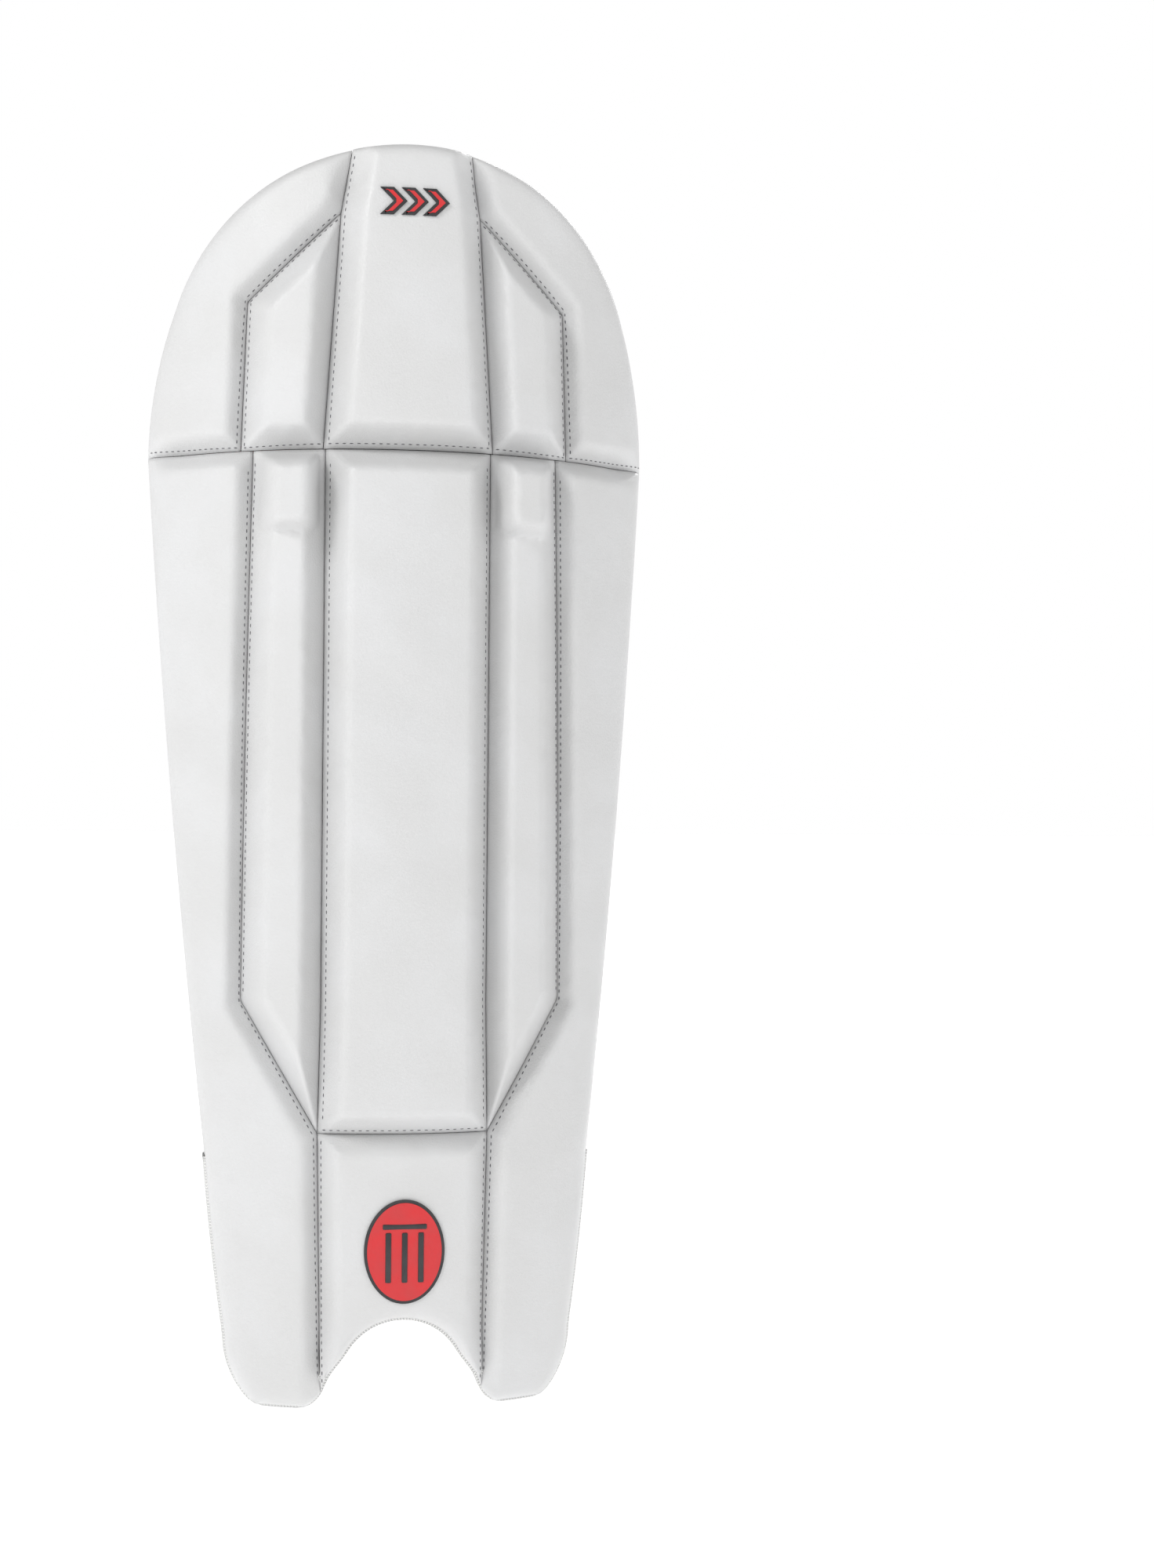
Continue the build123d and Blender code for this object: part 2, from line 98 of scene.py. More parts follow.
def arc(start: Point, middle: Point, end: Point, steps: int = 24) -> Array:
    """Circular arc through three points.

    Args:
        start: First point.
        middle: A point between the ends.
        end: Last point.
        steps: Number of straight steps.

    Returns:
        Points along the arc, ends included.
    """
    a, b, c = (complex(*p) for p in (start, middle, end))
    w = (c - a) / (b - a)
    centre = a + (b - a) * (w - abs(w) ** 2) / (2j * w.imag)
    first, last = np.angle(a - centre), np.angle(c - centre)
    through = np.angle(b - centre)
    turn = (last - first) % (2 * math.pi)
    if (through - first) % (2 * math.pi) > turn:
        turn -= 2 * math.pi
    angles = first + turn * np.linspace(0.0, 1.0, steps + 1)
    radius = abs(a - centre)
    return np.column_stack([centre.real + radius * np.cos(angles), centre.imag + radius * np.sin(angles)])


def joined(*parts: Array | Sequence[Point]) -> Array:
    """Runs of points joined into one path, each repeated point kept once."""
    points = np.vstack([np.asarray(part, dtype=float) for part in parts])
    keep = np.ones(len(points), dtype=bool)
    keep[1:] = np.linalg.norm(np.diff(points, axis=0), axis=1) > 1e-7
    return points[keep]


def lengths(path: Array) -> Array:
    """Distance along a path of each of its points."""
    return np.concatenate([[0.0], np.cumsum(np.linalg.norm(np.diff(path, axis=0), axis=1))])


def sample(path: Array, shares: Array) -> Array:
    """Points of a path at shares of its length.

    Args:
        path: Points of the path.
        shares: Numbers from 0 at its start to 1 at its end.

    Returns:
        One point for each share.
    """
    along = lengths(path)
    want = shares * along[-1]
    return np.column_stack([np.interp(want, along, path[:, k]) for k in range(path.shape[1])])


def distance(points: Array, path: Array) -> Array:
    """Distance of each point from a path."""
    best = np.full(len(points), np.inf)
    for a, b in zip(path[:-1], path[1:]):
        run = b - a
        share = np.clip(((points - a) @ run) / max(float(run @ run), 1e-12), 0.0, 1.0)
        best = np.minimum(best, np.linalg.norm(points - a - share[:, None] * run, axis=1))
    return best


def flipped(path: Array, side: Side) -> Array:
    """The path on one side of the centre line, given it for the left."""
    return path * np.array([side.value, 1.0])


def soft_min(a: Array, b: Array, blend: float) -> Array:
    """Lesser of two heights, rounded over where they meet."""
    return np.minimum(a, b) - np.maximum(blend - np.abs(a - b), 0.0) ** 2 / (4.0 * blend)


def soft_step(value: Array, low: float, high: float) -> Array:
    """Smooth rise from 0 at low to 1 at high."""
    share = np.clip((value - low) / (high - low), 0.0, 1.0)
    return share * share * (3.0 - 2.0 * share)


def ripple(points: Array, scale: float, seed: float = 0.0) -> Array:
    """Smooth uneven field between about -1 and 1.

    Args:
        points: Places as rows of two or three numbers.
        scale: Size of its lumps in metres.
        seed: Moves the field, so that pieces differ.

    Returns:
        One number for each place.
    """
    full = np.zeros((len(points), 3))
    full[:, : points.shape[1]] = points / scale
    full[:, 2] += seed
    return np.array([noise.noise(Vector(row)) for row in full])


# ---------------------------------------------------------------------------------------------
# The shell's shape
# ---------------------------------------------------------------------------------------------


@dataclass(frozen=True)
class Wrap:
    """The curve that the shell is bent to, round an upright axis behind its front line."""

    radius: float
    front_y: float

    def depth(self, x: Array, height: Array | float) -> Array:
        """Depth of a layer at a height above the seam surface."""
        return self.front_y + self.radius - np.sqrt((self.radius + height) ** 2 - x**2)

    def lift(self, points: Array, height: Array | float) -> Array:
        """Places in space of points of the front plane, at a height above the seam surface."""
        return np.column_stack([points[:, 0], self.depth(points[:, 0], height), points[:, 1]])

    def spread(self, half: float, height: float) -> float:
        """Width laid flat of a level line from -half to half, at a height above the seam surface."""
        radius = self.radius + height
        return 2.0 * radius * math.asin(half / radius)


@dataclass(frozen=True)
class Outline:
    """Front outline and seam lines of the pad, given for its left half."""

    height: float = 0.660
    half_width: float = 0.1354
    seam_z: float = 0.5015
    foot_z: float = 0.0014
    foot_inner_x: float = 0.050
    foot_outer_x: float = 0.076
    arch_z: float = 0.048
    centre_top: Point = (0.0312, 0.657)
    centre_mid: Point = (0.0365, 0.625)
    centre_foot_x: float = 0.0447
    rib_corner: Point = (0.084, 0.580)
    knee_rib_foot_x: float = 0.0868
    roll_x: float = 0.0435
    rib_top_x: float = 0.0804
    rib_mid: Point = (0.0833, 0.347)
    rib_foot: Point = (0.0846, 0.212)
    instep_top: Point = (0.0447, 0.1436)
    instep_foot: Point = (0.0422, 0.0089)

    def crown(self, from_x: float = 0.0) -> Array:
        """Dome from the cross seam up to a distance from the centre line."""
        top = self.height
        full = joined(
            arc((self.half_width, self.seam_z), (0.1326, self.seam_z + 0.0355), (0.1216, self.seam_z + 0.0775)),
            arc((0.1216, self.seam_z + 0.0775), (0.0973, top - 0.039), (0.0514, top - 0.009)),
            arc((0.0514, top - 0.009), (0.026, top - 0.0023), (0.0, top)),
        )
        if from_x <= 0.0:
            return full
        end_z = np.interp(from_x, full[::-1, 0], full[::-1, 1])
        return joined(full[full[:, 0] > from_x + 1e-6], [(from_x, end_z)])

    def flank(self) -> Array:
        """Outer side from the lobe's foot up to the cross seam."""
        return joined(
            arc((self.foot_outer_x, self.foot_z), (0.087, 0.0155), (0.0915, 0.036)),
            arc((0.0915, 0.036), (0.0973, 0.078), (0.1022, 0.1265)),
            arc((0.1022, 0.1265), (0.1205, 0.307), (self.half_width, self.seam_z), 48),
        )

    def lobe(self) -> Array:
        """Bottom of the lobe from the instep seam to the outer end of its flat foot."""
        inner = arc((0.0395, 0.017), (0.0435, 0.007), (self.foot_inner_x, self.foot_z))
        inner = inner[inner[:, 0] > self.instep_foot[0] + 1e-6]
        return joined([self.instep_foot], inner, [(self.foot_outer_x, self.foot_z)])

    def notch(self) -> Array:
        """Notch over the boot, from the right instep seam to the left one."""
        half = joined([(0.0303, 0.029), (0.0395, 0.017), self.instep_foot])
        arch = arc((-0.0303, 0.029), (0.0, self.arch_z), (0.0303, 0.029), 32)
        return joined(flipped(half[::-1], Side.RIGHT), arch, half)

    def lower_edge(self, top_z: float) -> Array:
        """Whole lower edge from the right side round both lobes and the notch to the left side."""
        side = self.flank()
        cut_x = float(np.interp(top_z, side[:, 1], side[:, 0]))
        left = joined(self.lobe(), side[side[:, 1] < top_z - 1e-6], [(cut_x, top_z)])
        return joined(flipped(left[::-1], Side.RIGHT), self.notch(), left)


@dataclass(frozen=True)
class Patch:
    """Four-sided region between two paths that run upwards and two that run from left to right."""

    start: Array
    end: Array
    bottom: Array
    top: Array

    def at(self, u: Array, v: Array) -> Array:
        """Points spread between the four sides.

        Args:
            u: Shares across, from start to end.
            v: Shares upwards, from bottom to top.

        Returns:
            One (x, z) for each pair of shares.
        """
        s, e = sample(self.start, v), sample(self.end, v)
        b, t = sample(self.bottom, u), sample(self.top, u)
        u, v = u[:, None], v[:, None]
        corners = (1 - u) * (1 - v) * self.bottom[0] + u * (1 - v) * self.bottom[-1]
        corners = corners + (1 - u) * v * self.top[0] + u * v * self.top[-1]
        return (1 - u) * s + u * e + (1 - v) * b + v * t - corners

    def size(self) -> tuple[float, float]:
        """Greatest lengths across and upwards."""
        across = max(lengths(self.bottom)[-1], lengths(self.top)[-1])
        return across, max(lengths(self.start)[-1], lengths(self.end)[-1])

    def gaps(self, points: Array) -> dict[str, Array]:
        """Distance of each point from each of the four sides."""
        sides = {"start": self.start, "end": self.end, "bottom": self.bottom, "top": self.top}
        return {name: distance(points, path) for name, path in sides.items()}


# ---------------------------------------------------------------------------------------------
# Meshes
# ---------------------------------------------------------------------------------------------

Surface = Callable[[Array, dict[str, Array]], Array]


def finish(bm: bmesh.types.BMesh, name: str, flat_angle: float = 180.0) -> bpy.types.Object:
    """Turns a bmesh into a shown object at the origin.

    Args:
        bm: Finished mesh, which is freed.
        name: Name of the object.
        flat_angle: Faces that meet at more than this many degrees keep a sharp edge.

    Returns:
        The new object.
    """
    limit = math.radians(flat_angle)
    for face in bm.faces:
        face.smooth = True
    for edge in bm.edges:
        edge.smooth = len(edge.link_faces) != 2 or edge.calc_face_angle(0.0) < limit
    mesh = bpy.data.meshes.new(name)
    bm.to_mesh(mesh)
    bm.free()
    obj = bpy.data.objects.new(name, mesh)
    bpy.context.scene.collection.objects.link(obj)
    return obj


def padded_block(
    name: str,
    patch: Patch,
    spacing: float,
    front: Surface,
    rear: Surface,
    inset: float = 0.0,
) -> bpy.types.Object:
    """Closed soft block over a patch, with a front and a rear surface.

    Args:
        name: Name of the object.
        patch: Region of the front plane that it covers.
        spacing: Size of its mesh.
        front: Depth of its front, from the points and their distances to the patch's sides.
        rear: Depth of its rear, likewise.
        inset: How far it stays inside the patch's sides.

    Returns:
        The new object, with a UV map in metres.
    """
    across, upwards = patch.size()
    columns, rows = max(4, round(across / spacing)), max(4, round(upwards / spacing))
    bm = bmesh.new()
    bmesh.ops.create_grid(bm, x_segments=columns, y_segments=rows, size=0.5)
    pushed = bmesh.ops.extrude_face_region(bm, geom=bm.faces[:])["geom"]
    raised = {item for item in pushed if isinstance(item, bmesh.types.BMVert)}
    verts = bm.verts[:]
    u = np.array([vert.co.x + 0.5 for vert in verts])
    v = np.array([vert.co.y + 0.5 for vert in verts])
    u = inset / across + u * (1 - 2 * inset / across)
    v = inset / upwards + v * (1 - 2 * inset / upwards)
    points = patch.at(u, v)
    gaps = patch.gaps(points)
    is_raised = np.array([vert in raised for vert in verts])
    depth = np.where(is_raised, front(points, gaps), rear(points, gaps))
    layer = bm.loops.layers.uv.new("cloth")
    for vert, (x, z), y in zip(verts, points, depth):
        vert.co = (x, y, z)
    for face in bm.faces:
        for loop in face.loops:
            loop[layer].uv = (loop.vert.co.x, loop.vert.co.z)
    bmesh.ops.recalc_face_normals(bm, faces=bm.faces[:])
    return finish(bm, name)


def swept(
    name: str,
    section: Array,
    stations: int,
    place: Callable[[Array, Array], Array],
    across: Array | None = None,
    along: Array | None = None,
) -> bpy.types.Object:
    """Closed strip made by carrying a closed section along a path.

    Args:
        name: Name of the object.
        section: Points of the closed section.
        stations: Number of steps along the path.
        place: Puts shares along the path and section points into space.
        across: UV across for each section point, in metres.
        along: UV along for each station, in metres.

    Returns:
        The new object, with a UV map in metres.
    """
    count = len(section)
    bm = bmesh.new()
    bmesh.ops.create_grid(bm, x_segments=stations, y_segments=count, size=0.5)
    verts = bm.verts[:]
    share = np.array([vert.co.x + 0.5 for vert in verts])
    index = np.round((np.array([vert.co.y + 0.5 for vert in verts])) * count).astype(int)
    station = np.round(share * stations).astype(int)
    looped = np.vstack([section, section[:1]])
    placed = place(share, looped[index])
    if across is None:
        across = lengths(looped)
    else:
        across = np.append(across, across[0])
    if along is None:
        along = np.linspace(0.0, 1.0, stations + 1)
    layer = bm.loops.layers.uv.new("cloth")
    chart = {vert: (along[s], across[i]) for vert, s, i in zip(verts, station, index)}
    for face in bm.faces:
        for loop in face.loops:
            loop[layer].uv = chart[loop.vert]
    for vert, spot in zip(verts, placed):
        vert.co = spot
    bmesh.ops.remove_doubles(bm, verts=bm.verts[:], dist=WELD)
    bmesh.ops.holes_fill(bm, edges=[edge for edge in bm.edges if edge.is_boundary], sides=0)
    bmesh.ops.recalc_face_normals(bm, faces=bm.faces[:])
    return finish(bm, name)


def softened(node: str, name: str, width: float, segments: int = 3) -> bpy.types.Object:
    """Copy of a frame node with its hard edges rounded.

    Args:
        node: Node to copy.
        name: Name of the new object.
        width: Width of the rounding.
        segments: Steps across the rounding.

    Returns:
        The new object.
    """
    bm = bmesh.new()
    bm.from_mesh(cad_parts[node].data)
    bmesh.ops.remove_doubles(bm, verts=bm.verts[:], dist=WELD)
    bmesh.ops.dissolve_limit(bm, angle_limit=math.radians(0.5), verts=bm.verts[:], edges=bm.edges[:])
    hard = [edge for edge in bm.edges if edge.calc_face_angle(0.0) > math.radians(40)]
    bmesh.ops.bevel(
        bm, geom=hard, offset=width, offset_type="OFFSET", affect="EDGES", segments=segments,
        profile=0.5, material=-1, clamp_overlap=True,
    )
    bmesh.ops.recalc_face_normals(bm, faces=bm.faces[:])
    return finish(bm, name, 50.0)


def stitched(
    name: str,
    runs: Sequence[tuple[Array, Array]],
    pitch: float,
    size: tuple[float, float, float],
) -> bpy.types.Object:
    """Rows of thread stitches.

    Args:
        name: Name of the object.
        runs: Each row's points in space and the outward direction at each.
        pitch: Distance between stitches.
        size: Length, width and thickness of one stitch.

    Returns:
        The new object.
    """
    whole = bmesh.new()
    for path, outward in runs:
        count = max(1, int(lengths(path)[-1] / pitch))
        for first in range(0, count, STITCH_BATCH):
            bm = bmesh.new()
            for number in range(first, min(count, first + STITCH_BATCH)):
                middle = (number + 0.5) / count
                ahead = sample(path, middle + np.array([-0.1, 0.0, 0.1]) / count)
                run = Vector(ahead[2] - ahead[0]).normalized()
                out = Vector(sample(outward, np.array([middle]))[0])
                out = (out - out.dot(run) * run).normalized()
                turn = Matrix((run, out.cross(run), out)).transposed().to_4x4()
                matrix = Matrix.Translation(Vector(ahead[1])) @ turn @ Matrix.Diagonal((*size, 1.0))
                bmesh.ops.create_uvsphere(bm, u_segments=6, v_segments=4, radius=0.5, matrix=matrix)
            batch = bpy.data.meshes.new("batch")
            bm.to_mesh(batch)
            bm.free()
            whole.from_mesh(batch)
            bpy.data.meshes.remove(batch)
    bmesh.ops.recalc_face_normals(whole, faces=whole.faces[:])
    return finish(whole, name)


# ---------------------------------------------------------------------------------------------
# Finishes
# ---------------------------------------------------------------------------------------------

Colour = tuple[float, float, float]
Value = float | Socket


def rgba(colour: Colour) -> tuple[float, float, float, float]:
    """Colour with full cover."""
    return (*colour, 1.0)


class Recipe:
    """Node material in the making."""

    def __init__(self, name: str, colour: Colour, roughness: float) -> None:
        """Starts a material.

        Args:
            name: Name of the material.
            colour: Its plain colour.
            roughness: Its plain roughness.
        """
        self.material = bpy.data.materials.new(name)
        self.material.use_nodes = True
        self.tree = self.material.node_tree
        self.shader = self.tree.nodes["Principled BSDF"]
        self.shader.inputs["Base Color"].default_value = rgba(colour)
        self.shader.inputs["Roughness"].default_value = roughness
        self.material.diffuse_color = rgba(colour)

    def set(self, **plain: float) -> None:
        """Sets plain values on the shader, by socket name with _ for a space."""
        for name, value in plain.items():
            self.shader.inputs[name.replace("_", " ")].default_value = value

    def node(self, kind: str, inputs: dict[str | int, object] | None = None, **settings: object) -> bpy.types.Node:
        """Adds a node.

        Args:
            kind: Its type without the ShaderNode prefix.
            inputs: Values or sockets for its inputs.
            settings: Its properties.

        Returns:
            The new node.
        """
        node = self.tree.nodes.new("ShaderNode" + kind)
        for name, value in settings.items():
            setattr(node, name, value)
        for key, value in (inputs or {}).items():
            if isinstance(value, Socket):
                self.tree.links.new(value, node.inputs[key])
            else:
                node.inputs[key].default_value = value
        return node

    def object_space(self) -> Socket:
        """Place on the object, in metres."""
        return self.node("TexCoord").outputs["Object"]

    def cloth_space(self) -> Socket:
        """Place on the cloth's own map, in metres."""
        return self.node("UVMap", uv_map="cloth").outputs["UV"]

    def split(self, vector: Socket) -> list[Socket]:
        """The three numbers of a vector."""
        return list(self.node("SeparateXYZ", {0: vector}).outputs)

    def math(self, operation: str, a: Value, b: Value = 0.0, c: Value = 0.0) -> Socket:
        """Result of a sum on one to three values."""
        return self.node("Math", {0: a, 1: b, 2: c}, operation=operation).outputs[0]

    def ranged(self, value: Value, low: float, high: float, to_low: float = 0.0, to_high: float = 1.0) -> Socket:
        """Value spread smoothly from one range to another, and kept in it."""
        inputs = {"Value": value, "From Min": low, "From Max": high, "To Min": to_low, "To Max": to_high}
        return self.node("MapRange", inputs, interpolation_type="SMOOTHSTEP").outputs[0]

    def noise(
        self,
        where: Socket,
        size: float,
        detail: float = 2.0,
        stretch: tuple[float, float, float] = (1, 1, 1),
    ) -> Socket:
        """Uneven field.

        Args:
            where: Place to read it at.
            size: Size of its lumps in metres.
            detail: How much finer structure it has.
            stretch: How much closer together its lumps are each way.

        Returns:
            A value from 0 to 1.
        """
        scaled = self.node("Mapping", {"Vector": where, "Scale": stretch}).outputs[0]
        return self.node("TexNoise", {"Vector": scaled, "Scale": 1.0 / size, "Detail": detail}).outputs["Fac"]

    def cells(self, where: Socket, size: float, feature: str = "F1") -> Socket:
        """Distance field of a cell pattern with cells of a size in metres."""
        node = self.node("TexVoronoi", {"Vector": where, "Scale": 1.0 / size}, feature=feature)
        return node.outputs["Distance"]

    def wave(self, value: Value, pitch: float, phase: float = 0.0) -> Socket:
        """Sine of a place, from -1 to 1, with a pitch in metres."""
        return self.math("SINE", self.math("MULTIPLY_ADD", value, 2 * math.pi / pitch, phase))

    def mix(self, share: Value, a: Colour | Socket, b: Colour | Socket) -> Socket:
        """Mixed colour, a at 0 and b at 1."""
        node = self.tree.nodes.new("ShaderNodeMix")
        node.data_type = "RGBA"
        for socket, value in ((node.inputs[0], share), (node.inputs[6], a), (node.inputs[7], b)):
            if isinstance(value, Socket):
                self.tree.links.new(value, socket)
            else:
                socket.default_value = rgba(value) if isinstance(value, tuple) else value
        return node.outputs[2]

    def paint(self, colour: Socket) -> None:
        """Uses a colour field."""
        self.tree.links.new(colour, self.shader.inputs["Base Color"])

    def rough(self, value: Socket) -> None:
        """Uses a roughness field."""
        self.tree.links.new(value, self.shader.inputs["Roughness"])

    def emboss(self, *layers: tuple[Socket, float]) -> None:
        """Adds surface relief.

        Args:
            layers: Height fields and the depth of each in metres.
        """
        normal = None
        for height, depth in layers:
            inputs = {"Height": height, "Distance": depth, "Strength": 1.0}
            if normal is not None:
                inputs["Normal"] = normal
            normal = self.node("Bump", inputs).outputs[0]
        self.tree.links.new(normal, self.shader.inputs["Normal"])


@dataclass(frozen=True)
class CoatedCloth:
    """Grained coated cloth."""

    name: str
    colour: Colour
    shade: Colour
    roughness: float = 0.42
    grain: float = 0.0011
    relief: float = 0.00010
    wrinkle: float = 0.00045

    def base(self) -> tuple[Recipe, Socket]:
        """The cloth and the place on it, for finishes that print on it."""
        r = Recipe(self.name, self.colour, self.roughness)
        where = r.object_space()
        grain = r.cells(where, self.grain)
        soft = r.noise(where, 0.018, 3.0)
        r.emboss((soft, self.wrinkle), (grain, self.relief), (r.noise(where, 0.0004, 2.0), self.relief / 3))
        r.rough(r.ranged(r.noise(where, 0.03, 3.0), 0.3, 0.7, self.roughness - 0.06, self.roughness + 0.08))
        r.set(Specular_IOR_Level=0.45)
        return r, where

    def build(self) -> bpy.types.Material:
        """The finished material."""
        r, where = self.base()
        r.paint(r.mix(r.ranged(r.noise(where, 0.045, 3.0), 0.35, 0.75), self.colour, self.shade))
        return r.material


@dataclass(frozen=True)
class Woven:
    """Cloth with a warp and a weft."""

    name: str
    colour: Colour
    shade: Colour
    pitch: float = 0.0011
    relief: float = 0.00012
    twill: float = 0.0
    roughness: float = 0.85

    def build(self) -> bpy.types.Material:
        """The finished material."""
        r = Recipe(self.name, self.colour, self.roughness)
        where = r.cloth_space()
        x, y, _ = r.split(where)
        slant = r.math("MULTIPLY_ADD", y, self.twill, x)
        warp, weft = r.wave(slant, self.pitch), r.wave(y, self.pitch)
        weave = r.ranged(r.math("MULTIPLY", warp, weft), -1.0, 1.0)
        shade = r.math("MULTIPLY_ADD", weave, 0.35, r.ranged(r.noise(where, 0.02, 4.0), 0.3, 0.7, 0.0, 0.22))
        r.paint(r.mix(shade, self.colour, self.shade))
        r.emboss((r.noise(where, 0.012, 2.0), 0.0004), (weave, self.relief))
        r.set(Sheen_Weight=0.25, Sheen_Roughness=0.5, Specular_IOR_Level=0.25)
        return r.material


@dataclass(frozen=True)
class RibbedTape:
    """Woven tape with ribs across it and fine threads."""

    name: str = "white_tape"
    colour: Colour = (0.80, 0.80, 0.78)
    # darker colour of the painted shade in the rib grooves
    shade: Colour = (0.56, 0.57, 0.57)
    rib: float = 0.0016

    def build(self) -> bpy.types.Material:
        """The finished material."""
        r = Recipe(self.name, self.colour, 0.8)
        where = r.cloth_space()
        x, y, _ = r.split(where)
        herring = r.math("MULTIPLY_ADD", r.math("PINGPONG", y, 0.0024), 0.8, x)
        rib = r.wave(herring, self.rib)
        thread = r.wave(y, 0.0009)
        # the rib grooves are painted darker: painted shade where the embossed rib is low
        r.paint(r.mix(r.ranged(rib, -1.0, 0.6, 0.8, 0.0), self.colour, self.shade))
        r.emboss((rib, 0.00022), (thread, 0.00010), (r.noise(where, 0.01), 0.0004))
        r.set(Sheen_Weight=0.2, Specular_IOR_Level=0.3)
        return r.material


@dataclass(frozen=True)
class SpacerMesh:
    """Knitted red mesh with staggered oval holes; the holes are filled with painted shade and the raised knit is
    painted lighter as a painted highlight.
    """

    name: str = "red_mesh"
    colour: Colour = (0.46, 0.003, 0.008)
    # lighter red of the painted highlight on the raised knit
    light: Colour = (0.66, 0.008, 0.016)
    # dark red of the painted shade inside the holes
    hole: Colour = (0.050, 0.001, 0.003)
    pitch: float = 0.0055
    hole_size: Point = (0.00105, 0.00150)

    def build(self) -> bpy.types.Material:
        """The finished material."""
        r = Recipe(self.name, self.colour, 0.75)
        where = r.cloth_space()
        x, y, _ = r.split(where)
        open_ = None
        for shift in (0.0, 0.5):
            cell = [
                r.math("SUBTRACT", r.math("FRACT", r.math("MULTIPLY_ADD", axis, 1 / pitch, shift)), 0.5)
                for axis, pitch in ((x, self.pitch), (y, self.pitch * 1.1))
            ]
            reach = [r.math("MULTIPLY", part, self.pitch / size) for part, size in zip(cell, self.hole_size)]
            squares = [r.math("MULTIPLY", part, part) for part in reach]
            span = r.math("SQRT", r.math("ADD", *squares))
            hole = r.ranged(span, 0.72, 1.02, 1.0, 0.0)
            open_ = hole if open_ is None else r.math("MAXIMUM", open_, hole)
        knit = r.math("MULTIPLY", r.wave(x, 0.00092), r.wave(y, 0.0011))
        # raised knit painted lighter: painted highlight where the embossed knit is high
        body = r.mix(r.ranged(knit, -0.8, 0.9), self.colour, self.light)
        # holes painted dark: painted shade inside them
        r.paint(r.mix(open_, body, self.hole))
        r.emboss((r.noise(where, 0.02, 2.0), 0.0006), (r.math("SUBTRACT", 1.0, open_), 0.0011), (knit, 0.00012))
        r.set(Sheen_Weight=0.04, Specular_IOR_Level=0.12)
        return r.material


@dataclass(frozen=True)
class StripedElastic:
    """Wide honeycomb elastic, with its stripes placed across its width. Its honeycomb hollows carry painted shade; its
    open-knit borders are darker, with painted shade between their raised loops.
    """

    name: str
    width: float
    loop: Colour = (0.60, 0.65, 0.67)
    # darker colour of the painted shade in the honeycomb hollows
    gap: Colour = (0.20, 0.235, 0.25)
    black: Colour = (0.008, 0.008, 0.009)
    # darkest colour of the open-knit borders, painted as shade between their raised loops
    border: Colour = (0.10, 0.125, 0.135)
    white: Colour = (0.78, 0.78, 0.77)

    def build(self) -> bpy.types.Material:
        """The finished material."""
        r = Recipe(self.name, self.loop, 0.85)
        where = r.cloth_space()
        along, across, _ = r.split(where)
        share = r.math("ABSOLUTE", r.math("MULTIPLY", across, 2.0 / self.width))
        links = []
        for shift in (0.0, 0.5):
            a = r.math("SUBTRACT", r.math("FRACT", r.math("MULTIPLY_ADD", along, 1 / 0.0042, shift)), 0.5)
            b = r.math("SUBTRACT", r.math("FRACT", r.math("MULTIPLY_ADD", across, 1 / 0.0030, shift)), 0.5)
            spread = r.math("SQRT", r.math("ADD", r.math("MULTIPLY", a, a), r.math("MULTIPLY", b, b)))
            links.append(r.math("ABSOLUTE", r.math("SUBTRACT", spread, 0.27)))
        ring = r.ranged(r.math("MINIMUM", *links), 0.03, 0.15, 1.0, 0.0)
        knit = r.math("MULTIPLY", r.wave(along, 0.0013), r.wave(across, 0.0015))
        # honeycomb hollows painted darker: painted shade where the embossed rings are low
        shaded_honeycomb = r.mix(ring, self.gap, self.loop)
        # open-knit borders darker where the embossed knit is low: painted shade
        shaded_open_knit = r.mix(r.ranged(knit, -0.2, 0.7), self.border, (0.31, 0.36, 0.38))
        stripe = r.math("MULTIPLY", r.ranged(share, 0.405, 0.425), r.ranged(share, 0.565, 0.585, 1.0, 0.0))
        pale = r.math("MULTIPLY", r.ranged(share, 0.575, 0.595), r.ranged(share, 0.685, 0.705, 1.0, 0.0))
        colour = r.mix(r.ranged(share, 0.69, 0.71), shaded_honeycomb, shaded_open_knit)
        colour = r.mix(pale, colour, self.white)
        colour = r.mix(stripe, colour, self.black)
        r.paint(colour)
        r.emboss((r.noise(where, 0.02, 2.0), 0.0005), (ring, 0.00035), (knit, 0.00030))
        r.set(Sheen_Weight=0.2, Specular_IOR_Level=0.25)
        return r.material


@dataclass(frozen=True)
class Moulded:
    """Moulded plastic, rubber or thread."""

    name: str
    colour: Colour
    roughness: float
    grain: float = 0.0006
    relief: float = 0.00003
    gloss: float = 0.5

    def build(self) -> bpy.types.Material:
        """The finished material."""
        r = Recipe(self.name, self.colour, self.roughness)
        where = r.object_space()
        worn = r.ranged(r.noise(where, 0.012, 4.0), 0.3, 0.75)
        r.paint(r.mix(worn, self.colour, tuple(min(1.0, 0.86 * part + 0.012) for part in self.colour)))
        r.rough(r.ranged(r.noise(where, 0.004, 3.0), 0.2, 0.8, self.roughness - 0.05, self.roughness + 0.1))
        r.emboss((r.noise(where, self.grain, 3.0), self.relief), (r.noise(where, 0.008, 2.0), 0.0002))
        r.set(Specular_IOR_Level=self.gloss)
        return r.material


